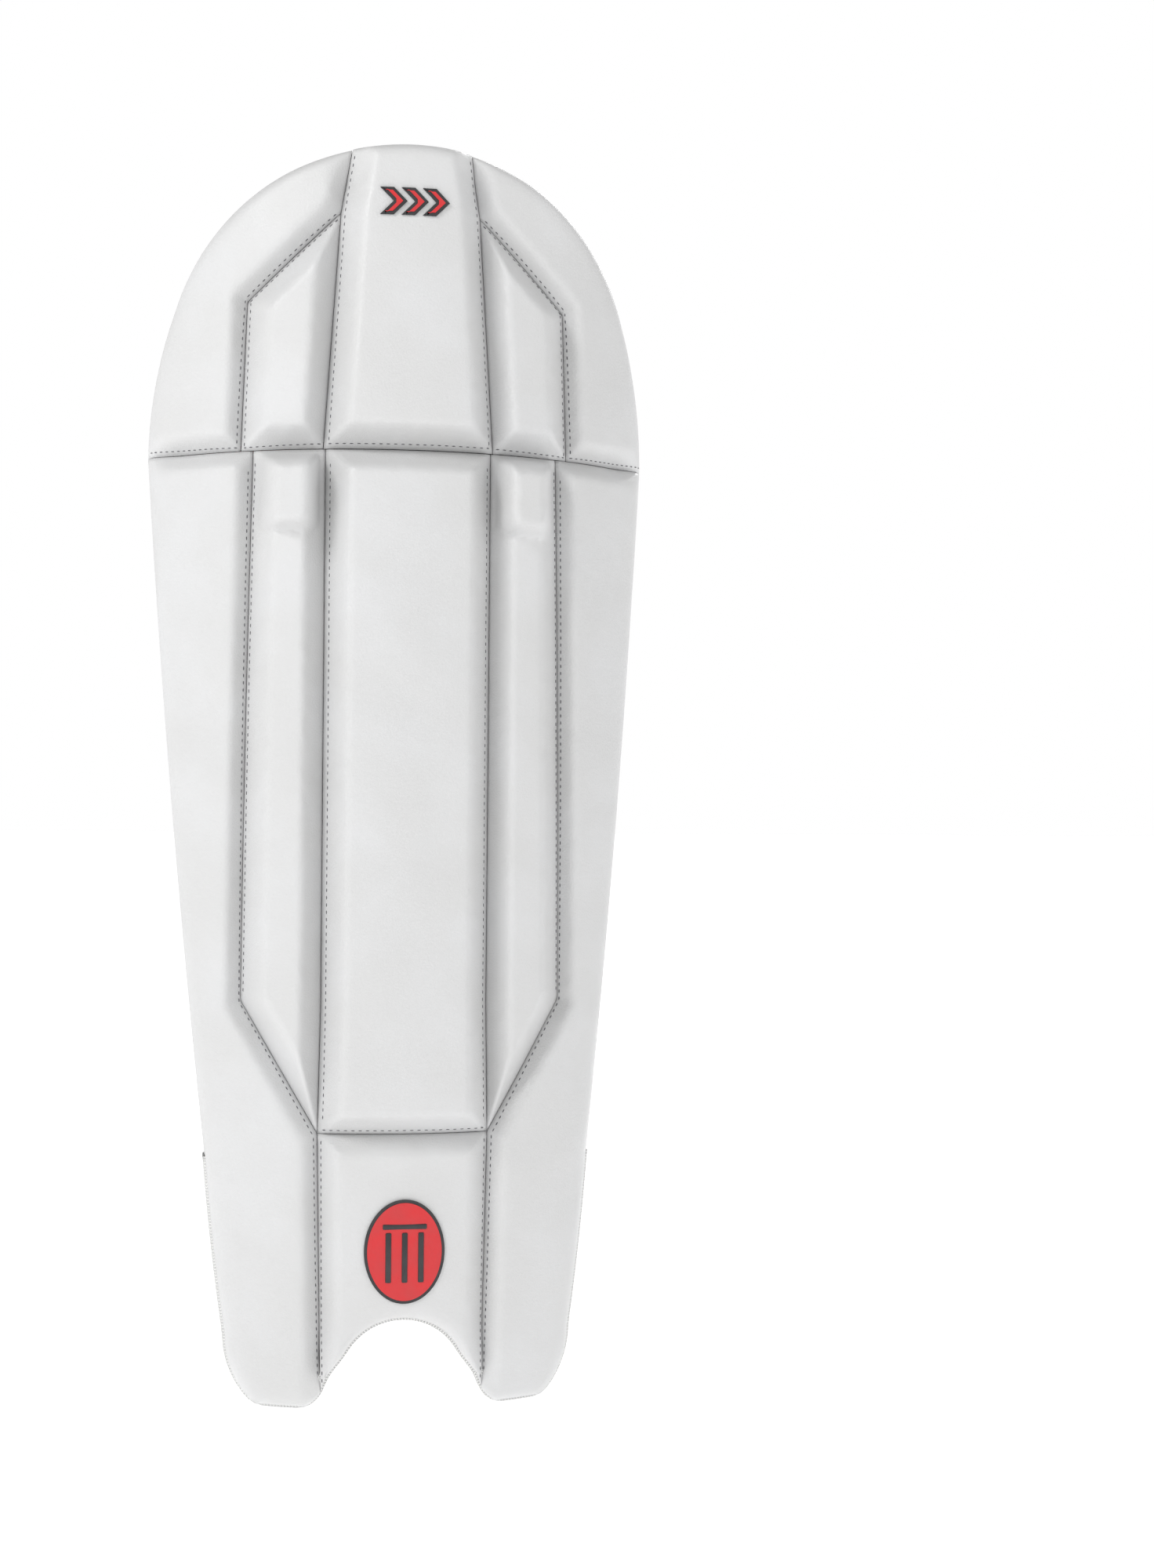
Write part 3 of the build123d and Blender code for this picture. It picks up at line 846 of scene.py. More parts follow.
@dataclass(frozen=True)
class PrintedCloth:
    """White coated cloth with a print of plain shapes, for the middle bolster."""

    name: str = "printed_pu"
    white: Colour = (0.80, 0.80, 0.79)
    black: Colour = (0.018, 0.018, 0.020)
    orange: Colour = (0.78, 0.19, 0.035)
    red: Colour = (0.62, 0.03, 0.03)
    yellow: Colour = (0.80, 0.58, 0.06)
    foot_z: float = 0.150

    def build(self) -> bpy.types.Material:
        """The finished material."""
        r, where = CoatedCloth(self.name, self.white, self.white, 0.30).base()
        x, _, z = r.split(where)
        slant = r.math("MULTIPLY_ADD", z, 0.62, x)
        counter = r.math("MULTIPLY_ADD", z, -0.62, x)
        lattice = r.math("MAXIMUM", r.wave(slant, 0.012), r.wave(counter, 0.012))
        band = r.math("MULTIPLY", r.ranged(x, -0.004, -0.002), r.ranged(x, 0.026, 0.028, 1.0, 0.0))
        lines = r.ranged(lattice, 0.80, 0.90)
        tint = r.mix(r.ranged(z, 0.20, 0.42), self.red, self.orange)
        colour = r.mix(r.math("MULTIPLY", lines, band), self.white, tint)
        bars = r.ranged(r.wave(slant, 0.052, 0.6), 0.45, 0.52)
        side = r.math("MULTIPLY", bars, r.ranged(x, -0.012, -0.010, 1.0, 0.0))
        colour = r.mix(side, colour, self.black)
        span = r.math("ADD", r.math("ABSOLUTE", r.math("MULTIPLY", r.math("SUBTRACT", x, 0.006), 1.5)),
                      r.math("ABSOLUTE", r.math("SUBTRACT", z, 0.190)))
        colour = r.mix(r.ranged(span, 0.027, 0.0285, 1.0, 0.0), colour, self.black)
        foot = r.ranged(r.math("MULTIPLY_ADD", x, 0.25, z), self.foot_z - 0.001, self.foot_z + 0.001, 1.0, 0.0)
        streak = r.mix(r.ranged(r.wave(counter, 0.019), 0.84, 0.90), self.yellow, self.red)
        r.paint(r.mix(foot, colour, streak))
        r.set(Coat_Weight=0.25, Coat_Roughness=0.2)
        return r.material


@dataclass(frozen=True)
class CushionCloth:
    """Black coated cloth in the middle, red webbed cloth on the right and dark striped cloth on the left."""

    name: str = "black_pu"
    black: Colour = (0.006, 0.006, 0.007)
    dark: Colour = (0.012, 0.020, 0.018)
    red: Colour = (0.60, 0.006, 0.012)
    right_seam_x: float = -0.061
    left_seam_x: float = 0.064

    def build(self) -> bpy.types.Material:
        """The finished material."""
        r, where = CoatedCloth(self.name, self.black, self.black, 0.38, 0.0016, 0.00016, 0.0011).base()
        x, _, z = r.split(where)
        warped = r.node("VectorMath", {0: where, 1: r.node("CombineXYZ", {
            0: r.math("MULTIPLY", r.noise(where, 0.035), 0.040), 2: r.math("MULTIPLY", r.noise(where, 0.030), 0.036),
        }).outputs[0]}, operation="ADD").outputs[0]
        web = r.ranged(r.cells(warped, 0.024, "DISTANCE_TO_EDGE"), 0.035, 0.085, 1.0, 0.0)
        right = r.mix(web, self.red, (0.008, 0.014, 0.011))
        shift = r.math("SUBTRACT", x, self.left_seam_x)
        column = r.math("SUBTRACT", r.math("FRACT", r.math("MULTIPLY", shift, 1 / 0.0065)), 0.5)
        thick = r.ranged(shift, 0.0, 0.055, 0.06, 0.26)
        line = r.ranged(r.math("SUBTRACT", r.math("ABSOLUTE", column), thick), -0.03, 0.03, 1.0, 0.0)
        stagger = r.math("FLOOR", r.math("MULTIPLY", shift, 1 / 0.0065))
        dash = r.ranged(r.wave(r.math("MULTIPLY_ADD", stagger, 0.0023, z), 0.0072), -0.75, -0.6)
        left = r.mix(r.math("MULTIPLY", line, dash), self.dark, self.red)
        colour = r.mix(r.ranged(x, self.left_seam_x - 0.0004, self.left_seam_x + 0.0004), self.black, left)
        r.paint(r.mix(r.ranged(x, self.right_seam_x - 0.0004, self.right_seam_x + 0.0004, 1.0, 0.0), colour, right))
        r.set(Specular_IOR_Level=0.22)
        return r.material


class Finishes:
    """Every material of the pad, each made once."""

    WHITE: Colour = (0.59, 0.59, 0.588)

    def __init__(self) -> None:
        """Makes the materials."""
        recipes = [
            CoatedCloth("white_pu", self.WHITE, (0.615, 0.617, 0.62)),
            Moulded("foam", (0.62, 0.60, 0.52), 0.9, 0.0012, 0.0002, 0.2),
            Moulded("board", (0.60, 0.61, 0.62), 0.8, 0.001, 0.0001, 0.3),
            Woven("grey_lining", (0.46, 0.52, 0.58), (0.33, 0.38, 0.44), 0.0010, 0.0001, 0.5),
            Woven("pale_cloth", (0.62, 0.70, 0.74), (0.50, 0.57, 0.62), 0.0012),
            RibbedTape(),
            SpacerMesh(),
            PrintedCloth(),
            CushionCloth(),
            Woven("loop_cloth", (0.62, 0.63, 0.63), (0.46, 0.47, 0.48), 0.0016, 0.0003),
            StripedElastic("elastic", 0.068),
            Moulded("white_plastic", (0.80, 0.80, 0.78), 0.30),
            Moulded("black_rubber", (0.020, 0.021, 0.023), 0.52, 0.0008, 0.00006),
            Moulded("hook_tape", (0.025, 0.025, 0.027), 0.9, 0.0007, 0.0006, 0.2),
            Moulded("white_thread", (0.82, 0.82, 0.80), 0.7, 0.0003, 0.00005),
            Moulded("dark_thread", (0.10, 0.10, 0.11), 0.7, 0.0003, 0.00005),
            Moulded("badge", (0.60, 0.016, 0.020), 0.34),
            Moulded("badge_edge", (0.018, 0.018, 0.020), 0.36),
            CoatedCloth("black_trim", (0.016, 0.016, 0.018), (0.03, 0.03, 0.032), 0.36),
        ]
        self.made = {recipe.name: recipe.build() for recipe in recipes}

    def dress(self, obj: bpy.types.Object, *names: str) -> bpy.types.Object:
        """Gives a piece its materials in order."""
        if obj.data.materials:
            obj.data.materials.clear()
        for name in names:
            obj.data.materials.append(self.made[name])
        return obj


# ---------------------------------------------------------------------------------------------
# Sub-assemblies
# ---------------------------------------------------------------------------------------------

OUTLINE = Outline()
WRAP = Wrap(radius=0.160, front_y=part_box("centre_roll_cover")[0].y + 0.020)
SPACING = 0.0021
Placed = Callable[[Array, Array], Array]


def level(a: Point, b: Point) -> Array:
    """Straight path between two points."""
    return np.array([a, b], dtype=float)


def mirrored(patch: Patch) -> Patch:
    """The patch on the other side of the centre line."""
    return Patch(*(flipped(side, Side.RIGHT) for side in (patch.start, patch.end, patch.bottom, patch.top)))


def upright(points: Array, depth: Array) -> Array:
    """Places of front-plane points at given depths."""
    return np.column_stack([points[:, 0], depth, points[:, 1]])


def block(
    name: str, patch: Patch, low: Surface, high: Surface, place: Placed = WRAP.lift,
    spacing: float = SPACING, inset: float = 0.0,
) -> bpy.types.Object:
    """Closed block between two height fields over a patch.

    Args:
        name: Name of the object.
        patch: Region that it covers.
        low: Height of one face, from points and their distances to the patch's sides.
        high: Height of the other face.
        place: Puts points and heights into space.
        spacing: Size of its mesh.
        inset: How far it stays inside the patch's sides.

    Returns:
        The new object, with a UV map in metres.
    """
    obj = padded_block(name, patch, spacing, high, low, inset)
    count = len(obj.data.vertices)
    flat = np.zeros(count * 3)
    obj.data.vertices.foreach_get("co", flat)
    flat = flat.reshape(count, 3)
    placed = place(flat[:, [0, 2]], flat[:, 1])
    obj.data.vertices.foreach_set("co", np.ascontiguousarray(placed).ravel())
    bm = bmesh.new()
    bm.from_mesh(obj.data)
    bmesh.ops.recalc_face_normals(bm, faces=bm.faces[:])
    bm.to_mesh(obj.data)
    bm.free()
    return obj


def even(height: float) -> Surface:
    """Height field that is the same all over."""
    return lambda points, gaps: np.full(len(points), height)


@dataclass(frozen=True)
class Pillow:
    """Cross-section of a panel: flat on top, sloping into its seams and rounded at free edges."""

    thickness: float
    slope: float = 0.0115
    seam_height: float = 0.0012
    seam_lift: float = 0.0050
    seam_fade: float = 0.020
    edge_height: float = 0.0036
    edge_round: float = 0.0075
    blend: float = 0.0030
    free: tuple[str, ...] = ()
    puff: float = 0.0009
    seed: float = 0.0

    def height(self, points: Array, gaps: dict[str, Array]) -> Array:
        """Height over a patch, from the distances to its sides."""
        top = self.thickness + self.puff * ripple(points, 0.035, self.seed)
        result = top
        outer = np.minimum.reduce([gaps[side] for side in self.free] or [np.ones(len(points))])
        seam = self.seam_height + self.seam_lift * (1.0 - soft_step(outer, 0.0, self.seam_fade))
        for side, gap in gaps.items():
            if side in self.free:
                share = np.clip(gap / self.edge_round, 0.0, 1.0)
                rise = self.edge_height + (top - self.edge_height) * np.sqrt(1.0 - (1.0 - share) ** 2)
                rise = rise + np.maximum(gap - self.edge_round, 0.0)
                result = soft_min(result, rise, self.blend / 3)
            else:
                pucker = 1.0 + 0.05 * ripple(points, 0.006, self.seed + 9.0)
                rise = seam + (top - seam) * gap / self.slope * pucker
                result = soft_min(result, rise, self.blend)
        return np.maximum(result, 0.0004)


@dataclass
class Panel:
    """One padded panel of the front."""

    name: str
    body: Body
    patch: Patch
    pillow: Pillow
    crosses: bool = False

    def build(self, finishes: Finishes, height: Surface, fill: float = 0.8) -> None:
        """Builds the panel, in place of its cover and foam.

        Args:
            finishes: Materials of the pad.
            height: Height of its front.
            fill: How firmly it is stuffed; not used.
        """
        obj = block(self.name + "_panel", self.patch, even(0.0), height, inset=0.0002)
        finishes.dress(obj, "white_pu")
        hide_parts(self.name + "_cover", self.name + "_foam")
        if self.crosses:
            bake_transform(obj)
        else:
            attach(obj, self.body.value)
        log.info("%s: %d vertices", obj.name, len(obj.data.vertices))


@dataclass
class Front:
    """The padded front, with its stitching."""

    centre: float = 0.020
    rib: float = 0.016
    wing: float = 0.011
    bump_height: float = 0.0115
    bump_foot_z: float = 0.4570
    bump_round: float = 0.0070
    stitch_pitch: float = 0.0038
    stitch_size: tuple[float, float, float] = (0.0021, 0.0006, 0.0006)

    def rib_height(self, pillow: Pillow) -> Surface:
        """Height of a rib, with its extra pad just under the cross seam."""

        def height(points: Array, gaps: dict[str, Array]) -> Array:
            """Height of the rib and of its extra pad."""
            beside = np.minimum(gaps["start"], gaps["end"])
            wall = soft_min(beside - 0.0030, points[:, 1] - self.bump_foot_z, 0.009)
            wall = soft_min(wall, gaps["top"] - 0.0025, 0.004)
            share = np.clip(wall / self.bump_round, 0.0, 1.0)
            return pillow.height(points, gaps) + self.bump_height * np.sin(share * math.pi / 2)

        return height

    def panels(self) -> list[Panel]:
        """Every panel of the front."""
        o = OUTLINE
        seam, foot_x = o.seam_z, o.centre_foot_x
        mid, top, corner = o.centre_mid, o.centre_top, o.rib_corner
        right_top = (-o.instep_top[0], o.instep_top[1])
        knee_edge = np.array([(foot_x, seam), mid])
        dome = o.crown()
        crest_z = float(np.interp(top[0], dome[::-1, 0], dome[::-1, 1]))
        crest = dome[dome[:, 0] < top[0] - 1e-6]
        crest = joined([(top[0], crest_z)], crest)
        full_crest = joined(flipped(crest, Side.RIGHT), crest[::-1])
        upper_edge = joined([(foot_x, seam), mid, (top[0], crest_z)])
        roll_edge = np.array([o.instep_top, (o.roll_x, o.rib_foot[1]), (o.roll_x, seam)])
        rib_edge = joined(arc(o.rib_foot, o.rib_mid, (o.rib_top_x, seam), 16))
        found = [
            Panel("knee_centre", Body.KNEE, Patch(flipped(upper_edge, Side.RIGHT), upper_edge,
                  level((-foot_x, seam), (foot_x, seam)), full_crest),
                  Pillow(self.centre, free=("top",), seed=1.0)),
            Panel("centre_roll", Body.SHIN, Patch(flipped(roll_edge, Side.RIGHT), roll_edge,
                  level(right_top, o.instep_top),
                  level((-o.roll_x, seam), (o.roll_x, seam))), Pillow(self.centre, seed=2.0), True),
            Panel("instep", Body.SHIN, Patch(level((-o.instep_foot[0], o.instep_foot[1]), right_top),
                  level(o.instep_foot, o.instep_top), o.notch(), level(right_top, o.instep_top)),
                  Pillow(self.wing, slope=0.009, free=("bottom",), seed=3.0)),
        ]
        for side in Side:
            seed = 4.0 + side.value
            rib = Patch(knee_edge, level((o.knee_rib_foot_x, seam), corner),
                        level((foot_x, seam), (o.knee_rib_foot_x, seam)), level(mid, corner))
            flank = Patch(joined([(o.knee_rib_foot_x, seam), corner, mid]), o.crown(top[0]),
                          level((o.knee_rib_foot_x, seam), (o.half_width, seam)), level(mid, (top[0], crest_z)))
            shin_rib = Patch(roll_edge, rib_edge, level(o.instep_top, o.rib_foot),
                             level((o.roll_x, seam), (o.rib_top_x, seam)))
            wing = Patch(joined([o.instep_foot, o.instep_top, o.rib_foot], rib_edge), o.flank(), o.lobe(),
                         level((o.rib_top_x, seam), (o.half_width, seam)))
            if side is Side.RIGHT:
                rib, flank, shin_rib, wing = (mirrored(patch) for patch in (rib, flank, shin_rib, wing))
            found += [
                Panel(f"knee_rib_{side.word}", Body.KNEE, rib, Pillow(self.rib, seed=seed)),
                Panel(f"knee_flank_{side.word}", Body.KNEE, flank,
                      Pillow(self.wing, slope=0.0085, free=("end",), seed=seed + 5)),
                Panel(f"rib_{side.word}", Body.SHIN, shin_rib, Pillow(self.rib, seed=seed + 10), True),
                Panel(f"wing_{side.word}", Body.SHIN, wing,
                      Pillow(self.wing, slope=0.0085, free=("end", "bottom"), seed=seed + 15), True),
            ]
        return found

    def seam_rows(self, patch: Patch, pillow: Pillow, sides: Sequence[str], offset: float) -> list[tuple[Array, Array]]:
        """Rows of stitches just inside some sides of a panel.

        Args:
            patch: The panel's region.
            pillow: Its cross-section.
            sides: Names of the sides.
            offset: Distance of the rows from those sides.

        Returns:
            Points and outward directions of each row.
        """
        rows = []
        across, upwards = patch.size()
        for side in sides:
            run = np.linspace(0.02, 0.98, 160)
            still = np.full(len(run), offset / (across if side in ("start", "end") else upwards))
            if side in ("end", "top"):
                still = 1.0 - still
            u, v = (still, run) if side in ("start", "end") else (run, still)
            points = patch.at(u, v)
            height = pillow.height(points, patch.gaps(points))
            spots = WRAP.lift(points, height + 0.0001)
            out = np.column_stack([points[:, 0], np.full(len(points), -WRAP.radius), np.zeros(len(points))])
            rows.append((spots, out))
        return rows

    def build(self, finishes: Finishes) -> None:
        """Builds the panels and their stitching."""
        rows: dict[Body, list[tuple[Array, Array]]] = {Body.SHIN: [], Body.KNEE: []}
        choice = {
            "knee_centre": ("start", "end", "bottom"),
            "knee_rib": ("end", "top", "bottom"),
            "knee_flank": ("start", "bottom"),
            "centre_roll": ("start", "end", "bottom"),
            "rib": ("end",),
            "wing": ("start",),
            "instep": ("start", "end"),
        }
        for panel in self.panels():
            if panel.name.startswith("rib"):
                panel.build(finishes, self.rib_height(panel.pillow), fill=0.9)
            else:
                panel.build(finishes, panel.pillow.height)
            key = panel.name.removesuffix("_left").removesuffix("_right")
            rows[panel.body] += self.seam_rows(panel.patch, panel.pillow, choice[key], 0.0024)
        for body, found in rows.items():
            obj = stitched(f"{body.value}_seam_stitches", found, self.stitch_pitch, self.stitch_size)
            finishes.dress(obj, "dark_thread")
            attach(obj, body.value)
            log.info("%s: %d vertices", obj.name, len(obj.data.vertices))


def turned(
    lip_front: float,
    front: float,
    rear: float,
    lip_rear: float,
    thick: float,
    outside: float,
    corner: float = 0.0016,
) -> Array:
    """Closed section of a tape folded round an edge.

    Args:
        lip_front: How far it reaches in over the front.
        front: Height of its front face.
        rear: Height of its rear face.
        lip_rear: How far it reaches in over the rear.
        thick: Thickness of the tape.
        outside: How far its fold stands outside the outline.
        corner: Radius of its outer corners.

    Returns:
        Points as rows of (distance inside the outline, height).
    """

    def rounded(centre: Point, radius: float, first: float) -> list[Point]:
        """Quarter turn about a centre."""
        angles = np.radians(np.linspace(first, first + 90.0, 5))
        return [(centre[0] + radius * math.cos(a), centre[1] + radius * math.sin(a)) for a in angles]

    inner = max(corner - thick, 0.0003)
    shell: list[Point] = [(lip_front, front)]
    shell += rounded((-outside + corner, front - corner), corner, 90.0)
    shell += rounded((-outside + corner, rear + corner), corner, 180.0)
    shell += [(x, rear) for x in np.linspace(0.002, lip_rear, 4)]
    shell += [(x, rear + thick) for x in np.linspace(lip_rear, 0.002, 4)]
    shell += rounded((-outside + thick + inner, rear + thick + inner), inner, 180.0)[::-1]
    shell += rounded((-outside + thick + inner, front - thick - inner), inner, 90.0)[::-1]
    shell += [(lip_front, front - thick)]
    return np.array(shell)


def along_outline(path: Array, inward: float) -> Placed:
    """Places section points along an outline.

    Args:
        path: The outline.
        inward: 1 if the inside is on the left of the path's direction, else -1.

    Returns:
        A function of shares along and (inset, height) rows.
    """
    smooth = sample(path, np.linspace(0.0, 1.0, 401))
    rounder = np.pad(smooth, ((4, 4), (0, 0)), mode="reflect", reflect_type="odd")
    smooth = np.column_stack([np.convolve(rounder[:, k], np.ones(9) / 9.0, mode="valid") for k in range(2)])
    tangent = np.gradient(smooth, axis=0)
    wide = np.pad(tangent, ((8, 8), (0, 0)), mode="edge")
    tangent = np.column_stack([np.convolve(wide[:, k], np.ones(17) / 17.0, mode="valid") for k in range(2)])
    tangent /= np.linalg.norm(tangent, axis=1)[:, None]
    normal = np.column_stack([-tangent[:, 1], tangent[:, 0]]) * inward

    def place(share: Array, section: Array) -> Array:
        """Puts section points at shares along the outline."""
        grid = np.linspace(0.0, 1.0, 401)
        base = np.column_stack([np.interp(share, grid, smooth[:, k]) for k in range(2)])
        turn = np.column_stack([np.interp(share, grid, normal[:, k]) for k in range(2)])
        return WRAP.lift(base + turn * section[:, :1], section[:, 1])

    return place


@dataclass
class Edges:
    """Turned edges of the shell, its woven binding, the linings and what lies behind them."""

    binding_top_z: float = 0.1285
    lining_inset: float = 0.0068
    rim_rear: float = -0.0069
    fold_depth: float = 0.0011

    def edge_strip(
        self,
        finishes: Finishes,
        name: str,
        path: Array,
        inward: float,
        section: Array,
        finish_name: str,
    ) -> bpy.types.Object:
        """Args:
            finishes: Materials of the pad.
            name: Name of the object.
            path: The outline.
            inward: 1 if the inside is on the left of the path's direction, else -1.
            section: Closed section as rows of (inset, height).
            finish_name: Its finish.

        Returns:
            The new object.
        """
        length = float(lengths(path)[-1])
        stations = max(16, round(length / 0.0035))
        obj = swept(name, section, stations, along_outline(path, inward), along=np.linspace(0.0, length, stations + 1))
        finishes.dress(obj, finish_name)
        laid = float(lengths(WRAP.lift(path, 0.0))[-1])
        return obj

    def build(self, finishes: Finishes) -> None:
        """Builds every edge and lining."""
        o = OUTLINE
        rim = turned(0.0010, 0.0010, self.rim_rear, 0.0076, 0.0009, 0.0002)
        crown = joined(o.crown(), flipped(o.crown()[::-1], Side.RIGHT))
        knee_rim = self.edge_strip(finishes, "knee_turned_edge", crown, 1.0, rim, "white_pu")
        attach(knee_rim, Body.KNEE.value)
        side = o.flank()
        cut = joined([(float(np.interp(self.binding_top_z, side[:, 1], side[:, 0])), self.binding_top_z)],
                     side[side[:, 1] > self.binding_top_z + 1e-6])
        for which in Side:
            path = flipped(cut, which)
            obj = self.edge_strip(finishes, f"shin_turned_edge_{which.word}", path, float(which.value), rim, "white_pu")
            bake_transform(obj)
        tape = turned(0.0042, 0.0052, -0.0086, 0.0135, 0.0012, 0.0013, 0.0024)
        lower = o.lower_edge(self.binding_top_z)
        binding = self.edge_strip(finishes, "edge_binding_tape", lower, 1.0, tape, "white_tape")
        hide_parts("edge_binding")
        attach(binding, Body.SHIN.value)
        self.linings(finishes)
        for node in ("knee_board", "shin_board"):
            finishes.dress(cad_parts[node], "board")
        finishes.dress(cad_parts["knee_lining"], "grey_lining")
        backing = softened("bolster_backing", "bolster_backing_cloth", 0.0003, 1)
        finishes.dress(backing, "pale_cloth")
        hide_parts("bolster_backing")
        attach(backing, Body.SHIN.value)

    def linings(self, finishes: Finishes) -> None:
        """Builds the linings of the shin and of the foot, with the soft folds of loose cloth."""
        o = OUTLINE
        seam, split, inset = o.seam_z, 0.1315, self.lining_inset
        side = o.flank()

        def edge(z0: float, z1: float) -> Array:
            """Outline between two levels, moved in by the inset."""
            part = side[(side[:, 1] > z0 + 1e-6) & (side[:, 1] < z1 - 1e-6)]
            ends = [(float(np.interp(z, side[:, 1], side[:, 0])), z) for z in (z0, z1)]
            return joined([ends[0]], part, [ends[1]]) - np.array([inset, 0.0])

        def folds(points: Array, gaps: dict[str, Array]) -> Array:
            """Rear face of the lining."""
            x, z = points[:, 0], points[:, 1]
            bend = x + 0.006 * np.sin(z / 0.06)
            fade = soft_step(np.minimum.reduce(list(gaps.values())), 0.0, 0.012)
            wave = 0.5 + 0.5 * np.sin(bend / 0.0021 + 1.5 * np.sin(z / 0.045))
            lump = 0.5 + 0.5 * ripple(points, 0.03, 21.0)
            return -0.0069 - self.fold_depth * fade * wave * lump

        upper = edge(split, seam - 0.0005)
        patch = Patch(flipped(upper, Side.RIGHT), upper, level(tuple(flipped(upper, Side.RIGHT)[0]), tuple(upper[0])),
                      level(tuple(flipped(upper, Side.RIGHT)[-1]), tuple(upper[-1])))
        cloth = block("shin_lining_cloth", patch, even(-0.0058), folds, spacing=0.0026)
        finishes.dress(cloth, "grey_lining")
        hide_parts("shin_lining")
        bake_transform(cloth)
        low = edge(0.036, split - 0.0005)
        foot_edge = joined([(o.foot_inner_x + 0.002, 0.0085), (0.071, 0.0085), (0.080, 0.0165)], low)
        notch = o.notch() + np.array([0.0, inset * 0.55])
        bottom = joined(flipped(foot_edge[:1], Side.RIGHT), [(-0.043, 0.0215)], notch[4:-4],
                        [(0.043, 0.0215)], foot_edge[:1])
        foot_patch = Patch(flipped(foot_edge, Side.RIGHT), foot_edge, bottom,
                           level(tuple(flipped(foot_edge, Side.RIGHT)[-1]), tuple(foot_edge[-1])))

        def channelled(points: Array, gaps: dict[str, Array]) -> Array:
            """Rear face of the foot lining, with its two upright seams."""
            groove = np.exp(-(((np.abs(points[:, 0]) - 0.034) / 0.0022) ** 2))
            return -0.0070 - 0.0012 * (1.0 - groove) + 0.0004 * ripple(points, 0.02, 31.0)

        foot = block("foot_lining_cloth", foot_patch, even(-0.0058), channelled, spacing=0.0026)
        finishes.dress(foot, "white_pu")
        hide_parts("foot_lining")
        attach(foot, Body.SHIN.value)
        log.info("linings built")


@dataclass(frozen=True)
class Crest:
    """Rear surface of the padding on the back: a wide cylinder whose line may lean."""

    radius: float
    crest_y: float
    drop: float = 0.0
    top_z: float = 0.462
    foot_z: float = 0.082
    round_edge: float = 0.016
    seed: float = 0.0
    wrinkle: float = 0.0006

    def depth(self, points: Array, gaps: dict[str, Array]) -> Array:
        """Depth of the rear face, rounded over at the edges."""
        x, z = points[:, 0], points[:, 1]
        lean = self.drop * np.clip((self.top_z - z) / (self.top_z - self.foot_z), 0.0, 1.0)
        full = WRAP.front_y + self.crest_y - lean + self.radius - np.sqrt(self.radius**2 - x**2)
        floor = self.floor(points, gaps)
        share = np.ones(len(points))
        for gap in gaps.values():
            part = np.clip(gap / self.round_edge, 0.0, 1.0)
            share = share * np.sqrt(1.0 - (1.0 - part) ** 2)
        pucker = self.wrinkle * ripple(points, 0.012, self.seed) * (1.0 - 0.6 * share)
        swell = 0.0010 * ripple(points, 0.045, self.seed + 3.0)
        return floor + 0.0015 + (full - floor - 0.0015) * share + pucker + swell * share

    def floor(self, points: Array, gaps: dict[str, Array]) -> Array:
        """Depth of the face that lies on the shell."""
        return WRAP.depth(points[:, 0], -0.0089)


